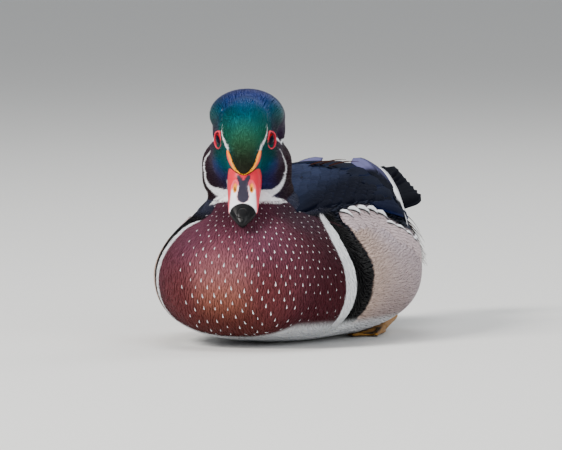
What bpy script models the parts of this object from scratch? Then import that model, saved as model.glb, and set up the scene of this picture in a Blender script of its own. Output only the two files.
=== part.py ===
"""A drake wood duck at life size, resting on its belly with its feet tucked under.

Lengths are in millimetres and angles in degrees; add_node scales each piece to metres.
The bird faces -Y, its left side is +X, and the origin is the middle of the belly's flat.
"""

import math

import bmesh
import bpy
import numpy as np
from mathutils import Matrix, Vector

MM = 0.001
GAP = 0.3
ACROSS, ALONG, UP = Vector((1, 0, 0)), Vector((0, 1, 0)), Vector((0, 0, 1))

# Driving sizes
BODY_FRONT = -140
BODY_REAR = 142
HALF_WIDTH = 75.5
BACK_HEIGHT = 99.5
EYE_MIDPOINT = Vector((2.9, -98, 126.5))
HEAD_PITCH = 37
HEAD_YAW = 15.5
EYE_SPREAD = 13.0
EYE_RADIUS = 5.3
EYE_FORWARD = 24
TAIL_TIP = 208
TARSUS_LENGTH = 36
MIDDLE_TOE = 46

# Mesh densities
BODY_RINGS = 21
BODY_SIDES = 28
HEAD_RINGS = 17
HEAD_SIDES = 28

# Torso stations along the back: y, half width, belly height, back height, height of the widest
# line, and how square the upper half is
TORSO = (
    (BODY_FRONT, 0, 52, 52, 52, 2.0),
    (-132, 29, 23, 66, 46, 2.0),
    (-117, 45.5, 9, 77, 44, 1.9),
    (-95, 56.5, 4, 87, 43, 1.8),
    (-62, 68, 0, 94.5, 42, 1.6),
    (-30, HALF_WIDTH - 2.5, -1.5, BACK_HEIGHT - 2, 41, 1.6),
    (0, HALF_WIDTH, -1.5, BACK_HEIGHT, 40, 1.62),
    (25, HALF_WIDTH + 0.5, -1.5, BACK_HEIGHT + 0.5, 40, 1.68),
    (50, 71, 1, 98.5, 41, 1.78),
    (75, 61, 8, 96, 45, 1.88),
    (95, 49, 20, 93, 52, 1.96),
    (115, 36, 35, 88, 60, 2.0),
    (132, 21, 50, 82, 66, 2.0),
    (BODY_REAR, 0, 68, 68, 68, 2.0),
)

# The folded wings' outer surface, with the same columns as the torso
WING_SHELL = (
    (-112, 38, 30, 72, 45, 1.8),
    (-95, 55, 4, 86, 44, 1.75),
    (-62, 67, 0, 97.5, 43, 1.65),
    (-30, 73.5, -1, 101.5, 42, 1.65),
    (0, 75.5, -1, 104.5, 41, 1.75),
    (25, 74.5, -1, 105.5, 41, 1.85),
    (50, 69, 2, 105, 42, 1.95),
    (75, 59.5, 10, 104, 46, 2.0),
    (95, 49.5, 20, 103, 50, 2.0),
    (115, 40, 35, 102, 58, 2.0),
    (135, 33, 48, 101, 64, 2.0),
    (170, 26, 60, 101, 72, 2.0),
)

# Where the flank feathers' upper edge crosses the side: y, degrees from the top of the section
FLANK_LINE = ((-80, 42), (-62, 43), (-30, 46), (0, 50), (30, 55), (60, 61), (85, 67), (110, 73))

MATERIALS = {
    "plumage": ((0.16, 0.05, 0.05), 0.7, 0.0),
    "head_plumage": ((0.01, 0.12, 0.09), 0.35, 0.2),
    "wing_plumage": ((0.02, 0.03, 0.06), 0.4, 0.1),
    "neck_plumage": ((0.12, 0.03, 0.05), 0.6, 0.0),
    "tail_plumage": ((0.015, 0.02, 0.02), 0.5, 0.0),
    "bill": ((0.75, 0.12, 0.08), 0.35, 0.0),
    "eye": ((0.6, 0.03, 0.02), 0.08, 0.0),
    "foot": ((0.45, 0.33, 0.10), 0.5, 0.0),
}


def clear_scene():
    """Removes whatever the scene holds."""
    for obj in list(bpy.data.objects):
        bpy.data.objects.remove(obj)


def material(name):
    """The named finish, made once."""
    if name in bpy.data.materials:
        return bpy.data.materials[name]
    made = bpy.data.materials.new(name)
    made.use_nodes = True
    colour, roughness, metallic = MATERIALS[name]
    shader = made.node_tree.nodes["Principled BSDF"]
    shader.inputs["Base Color"].default_value = (*colour, 1)
    shader.inputs["Roughness"].default_value = roughness
    shader.inputs["Metallic"].default_value = metallic
    return made


def add_node(name, shape, finish):
    """One named object from a shape: points in millimetres and faces."""
    points, faces = shape
    mesh = bpy.data.meshes.new(name)
    mesh.from_pydata([tuple(float(x) * MM for x in p) for p in points], [], faces)
    shaped = bmesh.new()
    shaped.from_mesh(mesh)
    bmesh.ops.recalc_face_normals(shaped, faces=shaped.faces)
    if shaped.calc_volume(signed=True) < 0:
        bmesh.ops.reverse_faces(shaped, faces=shaped.faces)
    shaped.to_mesh(mesh)
    shaped.free()
    obj = bpy.data.objects.new(name, mesh)
    bpy.context.scene.collection.objects.link(obj)
    mesh.materials.append(material(finish))
    return obj


def inflated(shape, amount=GAP):
    """The same shape grown outwards along its normals, to cut a neighbour clear of it."""
    points, faces = shape
    made = bmesh.new()
    verts = [made.verts.new(p) for p in points]
    for face in faces:
        made.faces.new([verts[i] for i in face])
    made.verts.index_update()
    bmesh.ops.recalc_face_normals(made, faces=made.faces)
    outwards = 1 if made.calc_volume(signed=True) > 0 else -1
    made.normal_update()
    moved = [v.co + v.normal * amount * outwards for v in verts]
    made.free()
    return moved, faces


def smooth_column(table, column, at):
    """A smooth curve through one column of a table, over the table's first column."""
    knots = np.array([row[0] for row in table], float)
    values = np.array([row[column] for row in table], float)
    slopes = np.gradient(values, knots)
    at = min(max(float(at), knots[0]), knots[-1])
    i = min(max(int(np.searchsorted(knots, at, side="right")) - 1, 0), len(knots) - 2)
    step = knots[i + 1] - knots[i]
    t = (at - knots[i]) / step
    return float(
        values[i] * (1 + 2 * t) * (1 - t) ** 2
        + values[i + 1] * (3 - 2 * t) * t**2
        + step * (slopes[i] * t * (1 - t) ** 2 - slopes[i + 1] * (1 - t) * t**2)
    )


def round_ended(table):
    """The table over an angle in place of y, so that its closed ends come out round."""
    first, last = table[0][0], table[-1][0]
    return [(math.acos(1 - 2 * (y - first) / (last - first)), *rest) for y, *rest in table]


TORSO_ROUND = round_ended(TORSO)
LOWER_POWER = 2.35


def section_point(half_width, low, high, wide, power, angle):
    """A point of a body's cross section; the angle is 0 at the top and half a turn at the bottom."""
    side, rise = math.sin(angle), math.cos(angle)
    power = power if rise > 0 else LOWER_POWER
    x = half_width * math.copysign(abs(side) ** (2 / power), side)
    reach = high - wide if rise > 0 else wide - low
    return x, wide + reach * math.copysign(abs(rise) ** (2 / power), rise)


def torso_point(y, angle):
    """A point of the torso at y, with the angle in radians round the section from the top."""
    share = min(max((y - BODY_FRONT) / (BODY_REAR - BODY_FRONT), 0), 1)
    turn = math.acos(1 - 2 * share)
    x, z = section_point(*(smooth_column(TORSO_ROUND, c, turn) for c in range(1, 6)), angle)
    return Vector((x, y, z))


def shell_point(y, angle):
    """A point of the folded wings' outer surface."""
    x, z = section_point(*(smooth_column(WING_SHELL, c, y) for c in range(1, 6)), angle)
    return Vector((x, y, z))


def flank_angle(y):
    """Where the flank feathers end at y, in degrees from the top."""
    return smooth_column(FLANK_LINE, 1, y)


def surface_normal(surface, y, angle):
    """The outward normal of a surface function."""
    along = surface(y + 1, angle) - surface(y - 1, angle)
    around = surface(y, angle + 0.02) - surface(y, angle - 0.02)
    return around.cross(along).normalized()


def split_quads(quads):
    """Each quad as two triangles, always across the same diagonal."""
    return [t for a, b, c, d in quads for t in ((a, b, c), (a, c, d))]


def closed_tube(rings, first_pole=None, last_pole=None):
    """A closed tube through rings, with a pole or the ring's own middle at each end."""
    sides = len(rings[0])
    points = [p for ring in rings for p in ring]
    quads = [
        (r * sides + s, r * sides + (s + 1) % sides, (r + 1) * sides + (s + 1) % sides, (r + 1) * sides + s)
        for r in range(len(rings) - 1)
        for s in range(sides)
    ]
    faces = split_quads(quads)
    for pole, start, last in ((first_pole, 0, False), (last_pole, (len(rings) - 1) * sides, True)):
        ring = points[start : start + sides]
        points.append(pole if pole is not None else sum((Vector(p) for p in ring), Vector()) / sides)
        top = len(points) - 1
        for s in range(sides):
            a, b = start + s, start + (s + 1) % sides
            faces.append((a, b, top) if last else (b, a, top))
    return points, faces


def ellipse_ring(centre, side, up, half_side, half_up, sides):
    """A ring round a centre, from its side and up directions."""
    turns = [2 * math.pi * s / sides for s in range(sides)]
    return [centre + side * half_side * math.cos(t) + up * half_up * math.sin(t) for t in turns]


def torso_surface():
    """The plain body: breast, belly, flanks, back and rump."""
    rings = []
    for r in range(1, BODY_RINGS):
        y = BODY_FRONT + (BODY_REAR - BODY_FRONT) * (1 - math.cos(math.pi * r / BODY_RINGS)) / 2
        rings.append([torso_point(y, 2 * math.pi * s / BODY_SIDES) for s in range(BODY_SIDES)])
    front = Vector((0, BODY_FRONT, TORSO[0][4]))
    rear = Vector((0, BODY_REAR, TORSO[-1][4]))
    return closed_tube(rings, front, rear)


# Head forms in the head's own frame, with the eyes' midpoint as its origin: middle, radii
HEAD_FORMS = (
    ((0, 7, -1), (17.3, 25, 20)),
    ((0, -10, -7.5), (10.5, 15, 12)),
    ((0, -15, -5.5), (6.3, 13.5, 5.5)),
    ((9, 4, -15.5), (13, 19, 14.5)),
    ((-9, 4, -15.5), (13, 19, 14.5)),
    ((0, 17, 1), (20, 17.5, 10.5)),
    ((0, 12, -28), (27.5, 22, 16)),
    ((0, 4, -37), (27, 18, 14)),
)
CREST_FORMS = (
    ((0, 18.5, 2.5), (21.4, 18.5, 10.6)),
    ((0.3, 22, 3.9), (19.4, 17, 10.8)),
    ((0.5, 30, -7), (20.8, 15.5, 13)),
    ((0.5, 34, -19), (19.8, 11.5, 15)),
    ((0, 34, -38), (9.5, 9, 13)),
)
HEAD_MIDDLE = Vector((0, 8, -8))
CREST_MIDDLE = Vector((0, 28, -8))
FORM_BLEND = 1.6


def form_distance(points, forms):
    """How far points lie outside rounded forms that flow into one another; below 0 is inside."""
    total = np.zeros(len(points))
    for middle, radii in forms:
        radii = np.array(radii, float)
        outside = (np.linalg.norm((points - np.array(middle)) / radii, axis=1) - 1) * radii.min()
        total += np.exp(-outside / FORM_BLEND)
    return -FORM_BLEND * np.log(total)


def ray_hits(middle, rays, forms, reach=90.0):
    """Where rays from inside the blended forms leave them."""
    rays, middle = np.array(rays, float), np.array(middle)
    near, far = np.zeros(len(rays)), np.full(len(rays), reach)
    for _ in range(28):
        half = (near + far) / 2
        inside = form_distance(middle + rays * half[:, None], forms) < 0
        near, far = np.where(inside, half, near), np.where(inside, far, half)
    return [Vector(p) for p in middle + rays * near[:, None]]


def blended_surface(middle, forms, rings, sides):
    """A closed skin round blended forms."""
    rays = []
    for r in range(1, rings):
        polar = math.pi * r / rings
        for s in range(sides):
            turn = 2 * math.pi * s / sides
            wide = math.sin(polar)
            rays.append((wide * math.cos(turn), -math.cos(polar), wide * math.sin(turn)))
    found = ray_hits(middle, rays + [(0, -1, 0), (0, 1, 0)], forms)
    loops = [found[r * sides : (r + 1) * sides] for r in range(rings - 1)]
    return closed_tube(loops, found[-2], found[-1])


def head_frame():
    """From the head's own frame to the bird's."""
    turn = Matrix.Rotation(math.radians(HEAD_YAW), 4, "Z") @ Matrix.Rotation(math.radians(HEAD_PITCH), 4, "X")
    return Matrix.Translation(EYE_MIDPOINT) @ turn


def on_head(shape):
    """A shape of the head's frame, placed on the bird."""
    frame = head_frame()
    return [frame @ Vector(p) for p in shape[0]], shape[1]


# The neck from the breast up into the head: middle, half width, half depth
NECK_RINGS = (
    ((0, -76, 68), 35.5, 36),
    ((0, -75, 80), 32, 32.5),
    ((0, -74, 91), 27.5, 26.5),
    ((0.5, -73, 102), 22, 19),
    ((1, -73, 114), 18, 15),
)
NECK_SIDES = 24
NECK_STEPS = 6


def neck_surface():
    """The drawn-in neck between the breast and the head."""
    table = [(middle[2], middle[0], middle[1], width, depth) for middle, width, depth in NECK_RINGS]
    rings = []
    for z in np.linspace(table[0][0], table[-1][0], NECK_STEPS):
        x, y, width, depth = (smooth_column(table, c, z) for c in (1, 2, 3, 4))
        rings.append(ellipse_ring(Vector((x, y, z)), ACROSS, ALONG, width, depth, NECK_SIDES))
    return closed_tube(rings)


def eye_axes(side):
    """Where an eye looks, its lengthwise and upright directions; side is 1 for the left eye."""
    turn = math.radians(EYE_FORWARD)
    axis = Vector((side * math.cos(turn), -math.sin(turn), 0.06)).normalized()
    across = axis.cross(UP).normalized()
    return axis, across, across.cross(axis)


def eye_surface(side, radius, sides=14, rings=8):
    """An eyeball with its pole along its axis."""
    axis, across, up = eye_axes(side)
    centre = Vector((side * EYE_SPREAD, -0.5, 0))
    loops = []
    for r in range(1, rings):
        polar = math.pi * r / rings
        wide = radius * math.sin(polar)
        loops.append(ellipse_ring(centre - axis * radius * math.cos(polar), across, up, wide, wide, sides))
    return closed_tube(loops, centre - axis * radius, centre + axis * radius)


LID_TALL, LID_LONG, LID_THICK, LID_OUT = 5.8, 5.0, 1.0, 2.9


def lid_surface(side, sides=15, turns=5):
    """The raised rim round an eye, a little pointed at its top."""
    axis, across, up = eye_axes(side)
    centre = Vector((side * EYE_SPREAD, -0.5, 0)) + axis * LID_OUT
    points = []
    for s in range(sides):
        turn = 2 * math.pi * s / sides
        point = 1 + 0.12 * max(0.0, math.sin(turn)) ** 6
        out = across * math.cos(turn) * LID_LONG + up * math.sin(turn) * LID_TALL * point
        for t in range(turns):
            tube = 2 * math.pi * t / turns
            rim = out.normalized() * math.cos(tube) + axis * 1.2 * math.sin(tube)
            points.append(centre + out + rim * LID_THICK)
    quads = []
    for s in range(sides):
        here, there = s * turns, (s + 1) % sides * turns
        for t in range(turns):
            after = (t + 1) % turns
            quads.append((here + t, here + after, there + after, there + t))
    return points, split_quads(quads)


# The bill in the head's frame: y, half width, edge height, ridge height
UPPER_BILL = (
    (-6, 9.4, -19.3, -2.0),
    (-17, 10.4, -19.3, -2.4),
    (-25, 10.3, -19.5, -6.6),
    (-35, 9.7, -20.0, -11.4),
    (-45, 9.2, -20.4, -15.0),
    (-48, 8.6, -20.7, -16.0),
    (-51, 7.0, -21.0, -16.8),
    (-54, 4.8, -21.4, -18.0),
    (-56.2, 2.6, -21.8, -19.3),
)
LOWER_BILL = (
    (-6, 8.2, -25.6, -20.2),
    (-20, 8.8, -25.2, -19.9),
    (-35, 8.2, -24.2, -20.4),
    (-45, 6.9, -23.4, -21.0),
    (-50.5, 4.8, -23.0, -21.4),
    (-53.4, 2.8, -22.9, -22.0),
)
BILL_SIDES = 16
NAIL = (Vector((0, -52.5, -19.2)), Vector((4.0, 5.2, 3.0)))
NOSTRIL = (Vector((5.0, -33.8, -11.8)), Vector((1.5, 3.0, 1.6)))


def bill_half(table, steps, arch_up):
    """A half of the bill: an arch over a nearly flat face, or the reverse."""
    rings = []
    for y in np.linspace(table[0][0], table[-1][0], steps):
        half_width, low, high = (smooth_column(table[::-1], c, y) for c in (1, 2, 3))
        ring = []
        for s in range(BILL_SIDES):
            turn = 2 * math.pi * (s + 0.5) / BILL_SIDES
            across, rise = math.cos(turn), math.sin(turn)
            arched = (rise > 0) == arch_up
            size = (high - low) * abs(rise) ** 0.85 if arched else 0.12 * abs(rise)
            z = (low if arch_up else high) + math.copysign(size, rise)
            ring.append(Vector((half_width * math.copysign(abs(across) ** 0.7, across), y, z)))
        rings.append(ring)
    return closed_tube(rings)


def ball(middle, radii, rings=7, sides=10):
    """A plain rounded form."""
    loops = []
    for r in range(1, rings):
        polar = math.pi * r / rings
        centre = middle - ALONG * radii.y * math.cos(polar)
        wide, tall = radii.x * math.sin(polar), radii.z * math.sin(polar)
        loops.append(ellipse_ring(centre, ACROSS, UP, wide, tall, sides))
    return closed_tube(loops, middle - ALONG * radii.y, middle + ALONG * radii.y)


VANE_EDGE = 0.5
VANE_SHAFT = 1.0


def vane(stations, sunk=0.0):
    """A feather's vane: a closed thin plate with a raised shaft line.

    Each station is a centre, a side direction, an up direction and a half width. Sunk takes the
    underside that much deeper, into the form that the vane is fused with.
    """
    points, faces = [], []
    for centre, side, up, half_width in stations:
        left, right = centre - side * half_width, centre + side * half_width
        edge, shaft, deep = up * VANE_EDGE / 2, up * VANE_SHAFT / 2, up * sunk
        points += [left + edge, centre + shaft, right + edge]
        points += [right - edge - deep, centre - shaft - deep, left - edge - deep]
    for r in range(len(stations) - 1):
        a, b = 6 * r, 6 * (r + 1)
        for i, j, under_i, under_j in ((0, 1, 5, 4), (1, 2, 4, 3)):
            faces += [(a + i, a + j, b + j), (a + i, b + j, b + i)]
            faces += [(a + under_i, b + under_j, a + under_j), (a + under_i, b + under_i, b + under_j)]
        for i, j in ((2, 3), (5, 0)):
            faces += [(a + i, a + j, b + j), (a + i, b + j, b + i)]
    for end in (0, 6 * (len(stations) - 1)):
        faces += [(end, end + 1, end + 4), (end, end + 4, end + 5)]
        faces += [(end + 1, end + 2, end + 3), (end + 1, end + 3, end + 4)]
    return points, faces


def vane_shares(steps):
    """Where a vane's stations are along it, closer together towards its tip."""
    return [1 - (1 - t) ** 1.6 for t in np.linspace(0, 1, steps)]


def vane_width(share, round_tip):
    """Half width of a vane along its length, as a share of its widest, from root to tip."""
    start, least = (0.6, 0.34) if round_tip else (0.35, 0.14)
    past = max(0.0, (share - start) / (1 - start))
    tip = math.sqrt(1 - past**2) if round_tip else 1 - past**1.5
    return min(1.0, 0.55 + 1.4 * share) * max(tip, least)


def vane_along(path, ups, half_width, round_tip=True, sunk=0.0):
    """A vane whose shaft follows a path, with the up direction given at each point."""
    last = len(path) - 1
    stations = []
    for i, (share, centre, up) in enumerate(zip(vane_shares(len(path)), path, ups)):
        ahead = path[min(i + 1, last)] - path[max(i - 1, 0)]
        side = ahead.cross(up).normalized()
        wide = half_width * vane_width(share, round_tip)
        stations.append((centre, side, side.cross(ahead).normalized(), wide))
    return vane(stations, sunk)


def surface_vane(surface, root, tip, half_width, lift, steps=5, round_tip=True, tilt=0.0, sunk=0.0):
    """A vane over a surface from root to tip, each a y and an angle in degrees.

    Lift is the height over the surface at the root and at the tip. Tilt lowers the vane's edge
    that is farther from the back, so that each vane goes under the one above it.
    """
    path, ups = [], []
    for share in vane_shares(steps):
        y, angle = (a + (b - a) * share for a, b in zip(root, tip))
        up = surface_normal(surface, y, math.radians(angle))
        path.append(surface(y, math.radians(angle)) + up * (lift[0] + (lift[1] - lift[0]) * share))
        ups.append((up + ALONG.cross(up) * tilt).normalized())
    return vane_along(path, ups, half_width, round_tip, sunk)


def lock(path, ups, half_width, thick, sunk=0.0):
    """A tapered tuft along a path: a four-sided bar that ends in a point."""
    rings, last = [], len(path) - 1
    for i in range(last):
        side = (path[i + 1] - path[max(i - 1, 0)]).cross(ups[i]).normalized()
        share = 1 - 0.62 * (i / last) ** 1.5
        reach = side * half_width * share
        top, under = ups[i] * thick / 2, ups[i] * (thick / 2 + sunk)
        rings.append([path[i] - reach, path[i] + top, path[i] + reach, path[i] - under])
    return closed_tube(rings, None, path[-1])


# The crest's tiers of locks: polar angle of root and tip from its top, the count and how far round
CREST_TIERS = ((22, 74, 7, 92), (50, 106, 8, 102), (84, 138, 7, 90), (116, 166, 5, 84))
CREST_LOCK = (4.0, 1.3)


def crest_locks():
    """Locks that sweep back over the crest in tiers, in the head's frame."""
    sweep = Vector((0, 0.3, -0.95)).normalized()
    back = Vector((0, 0.95, 0.3)).normalized()
    made = []
    for root, tip, count, spread in CREST_TIERS:
        for i in range(count):
            turn = math.radians(spread * (2 * (i + 0.5) / count - 1))
            out = back * math.cos(turn) + ACROSS * math.sin(turn)
            rays = []
            for polar in np.radians(np.linspace(root, tip, 4)):
                rays.append(sweep * -math.cos(polar) + out * math.sin(polar))
            path = []
            for ray, hit, lift in zip(rays, ray_hits(CREST_MIDDLE, rays, CREST_FORMS), (-2.0, 0.0, 0.4, 0.7)):
                path.append(hit + ray * lift)
            path[-1] += sweep * 2.5
            made.append(lock(path, rays, *CREST_LOCK, sunk=2.0))
    return made


def shell_patch(outer, inner, y_range, angle_range, steps, sides):
    """A closed patch between two surface functions."""
    rows = [(y, np.radians(np.linspace(*angle_range(y), sides))) for y in np.linspace(*y_range, steps)]
    cells = [(y, angle) for y, angles in rows for angle in angles]
    count = len(cells)
    starts = [r * sides + s for r in range(steps - 1) for s in range(sides - 1)]
    quads = [(a, a + 1, a + 1 + sides, a + sides) for a in starts]
    faces = split_quads(quads)
    faces += [(c + count, b + count, a + count) for a, b, c in faces]
    rim = list(range(sides)) + [r * sides + sides - 1 for r in range(1, steps)]
    rim += [(steps - 1) * sides + s for s in range(sides - 2, -1, -1)]
    rim += [r * sides for r in range(steps - 2, 0, -1)]
    faces += split_quads([(b, a, a + count, b + count) for a, b in zip(rim, rim[1:] + rim[:1])])
    return [outer(y, a) for y, a in cells] + [inner(y, a) for y, a in cells], faces


WING_FRONT, WING_END = -70, 88


def wing_core():
    """The folded left wing under its feathers."""

    def angles(y):
        return 0, flank_angle(y) + 2

    def outer(y, angle):
        near_end = max(0.0, (y - 55) / (WING_END - 55))
        depth = 1.3 + 5.5 * near_end**1.5
        return shell_point(y, angle) - surface_normal(shell_point, y, angle) * depth

    def inner(y, angle):
        return torso_point(y, angle) - surface_normal(torso_point, y, angle) * 2.5

    return shell_patch(outer, inner, (WING_FRONT, WING_END), angles, 11, 8)


PRIMARIES = 4
PRIMARY_WIDTH, SECONDARY_WIDTH, TERTIAL_WIDTH, SCAPULAR_WIDTH = 5.6, 6.5, 8.0, 7.8
SECONDARY_ROOTS = (-30, -2, 26)
SECONDARY_LENGTH = 48
# Tertials from the back outwards: y and angle of the root, then of the tip
TERTIALS = ((26, 13, 108, 15), (30, 23, 114, 26), (26, 33, 108, 36), (16, 42, 92, 46))
SCAPULAR_ROWS = (-76, -49, -22, 5)
SCAPULAR_ANGLES = (12, 25, 38)
SCAPULAR_LENGTH = 43


def wing_vanes():
    """The left wing's primaries, secondaries, tertials and scapulars, in tiers."""
    made = []

    def add(root, tip, half_width, lift, steps=4, **kind):
        made.append(surface_vane(shell_point, root, tip, half_width, lift, steps, **kind))

    for i in range(PRIMARIES):
        root, tip = (40 + 8 * i, 52 - 5 * i), (110 + 10 * i, 48 - 9 * i)
        add(root, tip, PRIMARY_WIDTH, (-1.8, -2.2 + 0.5 * i), round_tip=False, tilt=0.12)
    for y in SECONDARY_ROOTS:
        end = y + SECONDARY_LENGTH
        root, tip = (y, flank_angle(y) - 7), (end, flank_angle(end) - 10)
        add(root, tip, SECONDARY_WIDTH, (-1.9, -0.5), tilt=0.15, sunk=1.5)
    for root_y, root, tip_y, tip in TERTIALS:
        add((root_y, root), (tip_y, tip), TERTIAL_WIDTH, (-2.4, 0.3), 5, tilt=0.1)
    for row, y in enumerate(SCAPULAR_ROWS):
        for angle in SCAPULAR_ANGLES:
            angle += 6 * (row % 2)
            if angle < flank_angle(y) - 6:
                root, tip = (y, angle), (y + SCAPULAR_LENGTH, angle)
                add(root, tip, SCAPULAR_WIDTH, (-1.7, 0.6), tilt=0.08, sunk=2.2)
    return made


# The flank's two tiers: first root's y, degrees under the flank line of root and tip, lift of
# root and tip, and length
FLANK_TIERS = ((-56, 38, 17, -0.9, 1.6, 26), (-66, 24, 0, -1.0, 3.4, 31))
FLANK_COUNT = 6
FLANK_STEP = 25
FLANK_WIDTH = 10.5


def flank_vanes():
    """The left flank's feathers, whose upper tips lie over the wing's lower edge."""
    made = []
    for first, root_drop, tip_drop, root_lift, tip_lift, length in FLANK_TIERS:
        for i in range(FLANK_COUNT):
            y = first + FLANK_STEP * i
            root = (y, flank_angle(y) + root_drop)
            tip = (y + length, flank_angle(y + length) + tip_drop)
            made.append(surface_vane(torso_point, root, tip, FLANK_WIDTH, (root_lift, tip_lift), 4, sunk=3.0))
    return made


RECTRICES = 6
TAIL_ROOT = 118
RECTRIX_WIDTH = 8.2
COVERT_WIDTH = 6.5
COVERTS = ((-8.5, -24), (8.5, 24), (0, 0))


def leaning(degrees, upright=1):
    """An up direction that leans towards the bird's left side."""
    turn = math.radians(degrees)
    return Vector((math.sin(turn), 0, upright * math.cos(turn)))


def tail_vanes():
    """The tail's arched fan, with the coverts above and below its root."""
    made = []
    for i in range(RECTRICES - 1, -1, -1):
        for side in (1, -1):
            share = i / (RECTRICES - 1)
            up = leaning(side * (7 + 40 * share))
            root = Vector((side * (3.5 + 10 * share), TAIL_ROOT, 79 - 8 * share))
            tip = Vector((side * (4.5 + 20 * share), TAIL_TIP - 17 * share, 95 - 17 * share))
            down = 0.8 * i + (0.45 if side < 0 else 0)
            path = [root.lerp(tip, s) + up * (2.5 * math.sin(math.pi * s) - down) for s in vane_shares(4)]
            made.append(vane_along(path, [up] * len(path), RECTRIX_WIDTH - 1.2 * share))
    for x, lean in COVERTS:
        drop = abs(x) * 0.32
        upper = ((x * 0.8, 132, 83 - drop), (x, 148, 89.5 - drop), (x * 1.1, 166, 93.4 - drop))
        under = ((x * 0.8, 134, 62 + drop), (x, 150, 66 + drop), (x * 1.1, 170, 75 + drop))
        for path, upright in ((upper, 1), (under, -1)):
            ups = [leaning(lean, upright)] * len(path)
            made.append(vane_along([Vector(p) for p in path], ups, COVERT_WIDTH, sunk=2.5))
    return made


TUFT = (3.2, 1.4)
TAIL_BASE = (
    (112, 72, 15, 10),
    (128, 73, 16.5, 10.5),
    (144, 75, 16, 9.5),
    (158, 79, 14, 6.5),
    (168, 83, 10, 3.5),
)


def rump_tufts():
    """The long loose feathers that hang beside the tail."""
    made = []
    for side in (1, -1):
        leans = ((side, -0.4, 1.6), (side, 0, 1), (side, 0, 0.4), (side, 0, 0.2))
        ups = [Vector(lean).normalized() for lean in leans]
        for k in range(2):
            path = [
                Vector((side * 9, 141 + 3 * k, 72 - k)),
                Vector((side * 21, 146 + 3 * k, 68 - 4 * k)),
                Vector((side * (31 - k), 152 + 3 * k, 57 - 6 * k)),
                Vector((side * (36 - k), 158 + 2 * k, 45 - 5 * k)),
            ]
            made.append(lock(path, ups, *TUFT))
    return made


def tail_base():
    """The coverts' mass round the tail's root."""
    rings = [ellipse_ring(Vector((0, y, z)), ACROSS, UP, wide, tall, 18) for y, z, wide, tall in TAIL_BASE]
    return closed_tube(rings)


def limb(start, end, start_radius, end_radius, sides=6):
    """A tapered round limb with rounded ends."""
    side = (end - start).cross(UP).normalized()
    up = side.cross(end - start).normalized()
    rings = []
    for share, scale in ((-0.02, 0.6), (0.02, 1), (0.5, 0.95), (0.97, 1), (1.01, 0.6)):
        radius = (start_radius + (end_radius - start_radius) * share) * scale
        rings.append(ellipse_ring(start.lerp(end, share), side, up, radius, radius, sides))
    return closed_tube(rings)


# Toes: degrees from straight ahead and share of the middle toe's length; the web's rim between
TOES = ((-17, 0.86), (0, 1.0), (17, 0.84))
WEB = ((17, 0.76), (8.5, 0.74), (0, 0.88), (-8.5, 0.75), (-17, 0.77))
HEEL = Vector((40, 88, 8.5))
ANKLE = Vector((44, HEEL.y - TARSUS_LENGTH, 3.2))


def toe_reach(side, spread, length):
    """From the ankle along a toe, level with the floor."""
    turn = math.radians(spread - side * 6)
    return Vector((math.sin(turn), -math.cos(turn), 0)) * MIDDLE_TOE * length


def leg_pieces(side):
    """A tucked leg: shank, hind toe and webbed toes lying forward under the belly."""
    heel, ankle = (Vector((side * p.x, p.y, p.z)) for p in (HEEL, ANKLE))
    floor = Vector((ankle.x, ankle.y, 0))
    pieces = [limb(Vector((side * 33, 66, 26)), heel, 5.5, 3.6), limb(heel, ankle, 3.2, 2.8)]
    for spread, length in TOES:
        pieces.append(limb(ankle, floor + UP + toe_reach(side, spread, length), 2.4, 1.5))
    pieces.append(limb(ankle, ankle + Vector((-side * 6, 10, -2.2)), 2.0, 1.2))
    rim = [floor + Vector((x, 1, 0)) for x in (-2, 2)]
    rim += [floor + toe_reach(side, spread, length) for spread, length in WEB]
    pieces.append(closed_tube([[p + UP * z for p in rim] for z in (-1.0, 1.3)]))
    return pieces


def mirrored(shape):
    """The same shape on the other side of the bird."""
    return [Vector((-p[0], p[1], p[2])) for p in shape[0]], [tuple(reversed(f)) for f in shape[1]]


def box(low, high):
    """A box between two corners."""
    corners = ((low[0], low[1]), (high[0], low[1]), (high[0], high[1]), (low[0], high[1]))
    return closed_tube([[Vector((x, y, z)) for x, y in corners] for z in (low[2], high[2])])


def apply_modifiers(body):
    """Makes an object's modifiers part of its own mesh."""
    graph = bpy.context.evaluated_depsgraph_get()
    made = bpy.data.meshes.new_from_object(body.evaluated_get(graph))
    body.modifiers.clear()
    old, body.data = body.data, made
    bpy.data.meshes.remove(old)


def apply_boolean(body, shapes, operation, finish):
    """Joins shapes to a body, or cuts them from it, through one collection."""
    group = bpy.data.collections.new(body.name + "_helpers")
    bpy.context.scene.collection.children.link(group)
    for i, shape in enumerate(shapes):
        helper = add_node(f"{body.name}_helper_{i}", shape, finish)
        bpy.context.scene.collection.objects.unlink(helper)
        group.objects.link(helper)
    change = body.modifiers.new(operation.lower(), "BOOLEAN")
    change.operation, change.operand_type, change.solver = operation, "COLLECTION", "EXACT"
    change.collection = group
    apply_modifiers(body)
    for helper in list(group.objects):
        bpy.data.objects.remove(helper)
    bpy.data.collections.remove(group)


def keep_largest(obj):
    """Keeps only the largest closed surface of an object."""
    shape = bmesh.new()
    shape.from_mesh(obj.data)
    bmesh.ops.remove_doubles(shape, verts=shape.verts, dist=0.002 * MM)
    unseen, islands = set(shape.faces), []
    while unseen:
        stack, island = [unseen.pop()], []
        while stack:
            face = stack.pop()
            island.append(face)
            for edge in face.edges:
                for other in edge.link_faces:
                    if other in unseen:
                        unseen.remove(other)
                        stack.append(other)
        islands.append(island)
    islands.sort(key=lambda faces: sum(f.calc_area() for f in faces))
    loose = [face for island in islands[:-1] for face in island]
    bmesh.ops.delete(shape, geom=loose, context="FACES")
    shape.to_mesh(obj.data)
    shape.free()


MANY_PIECES = 10
SEAM_SHARE = 0.82


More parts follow.
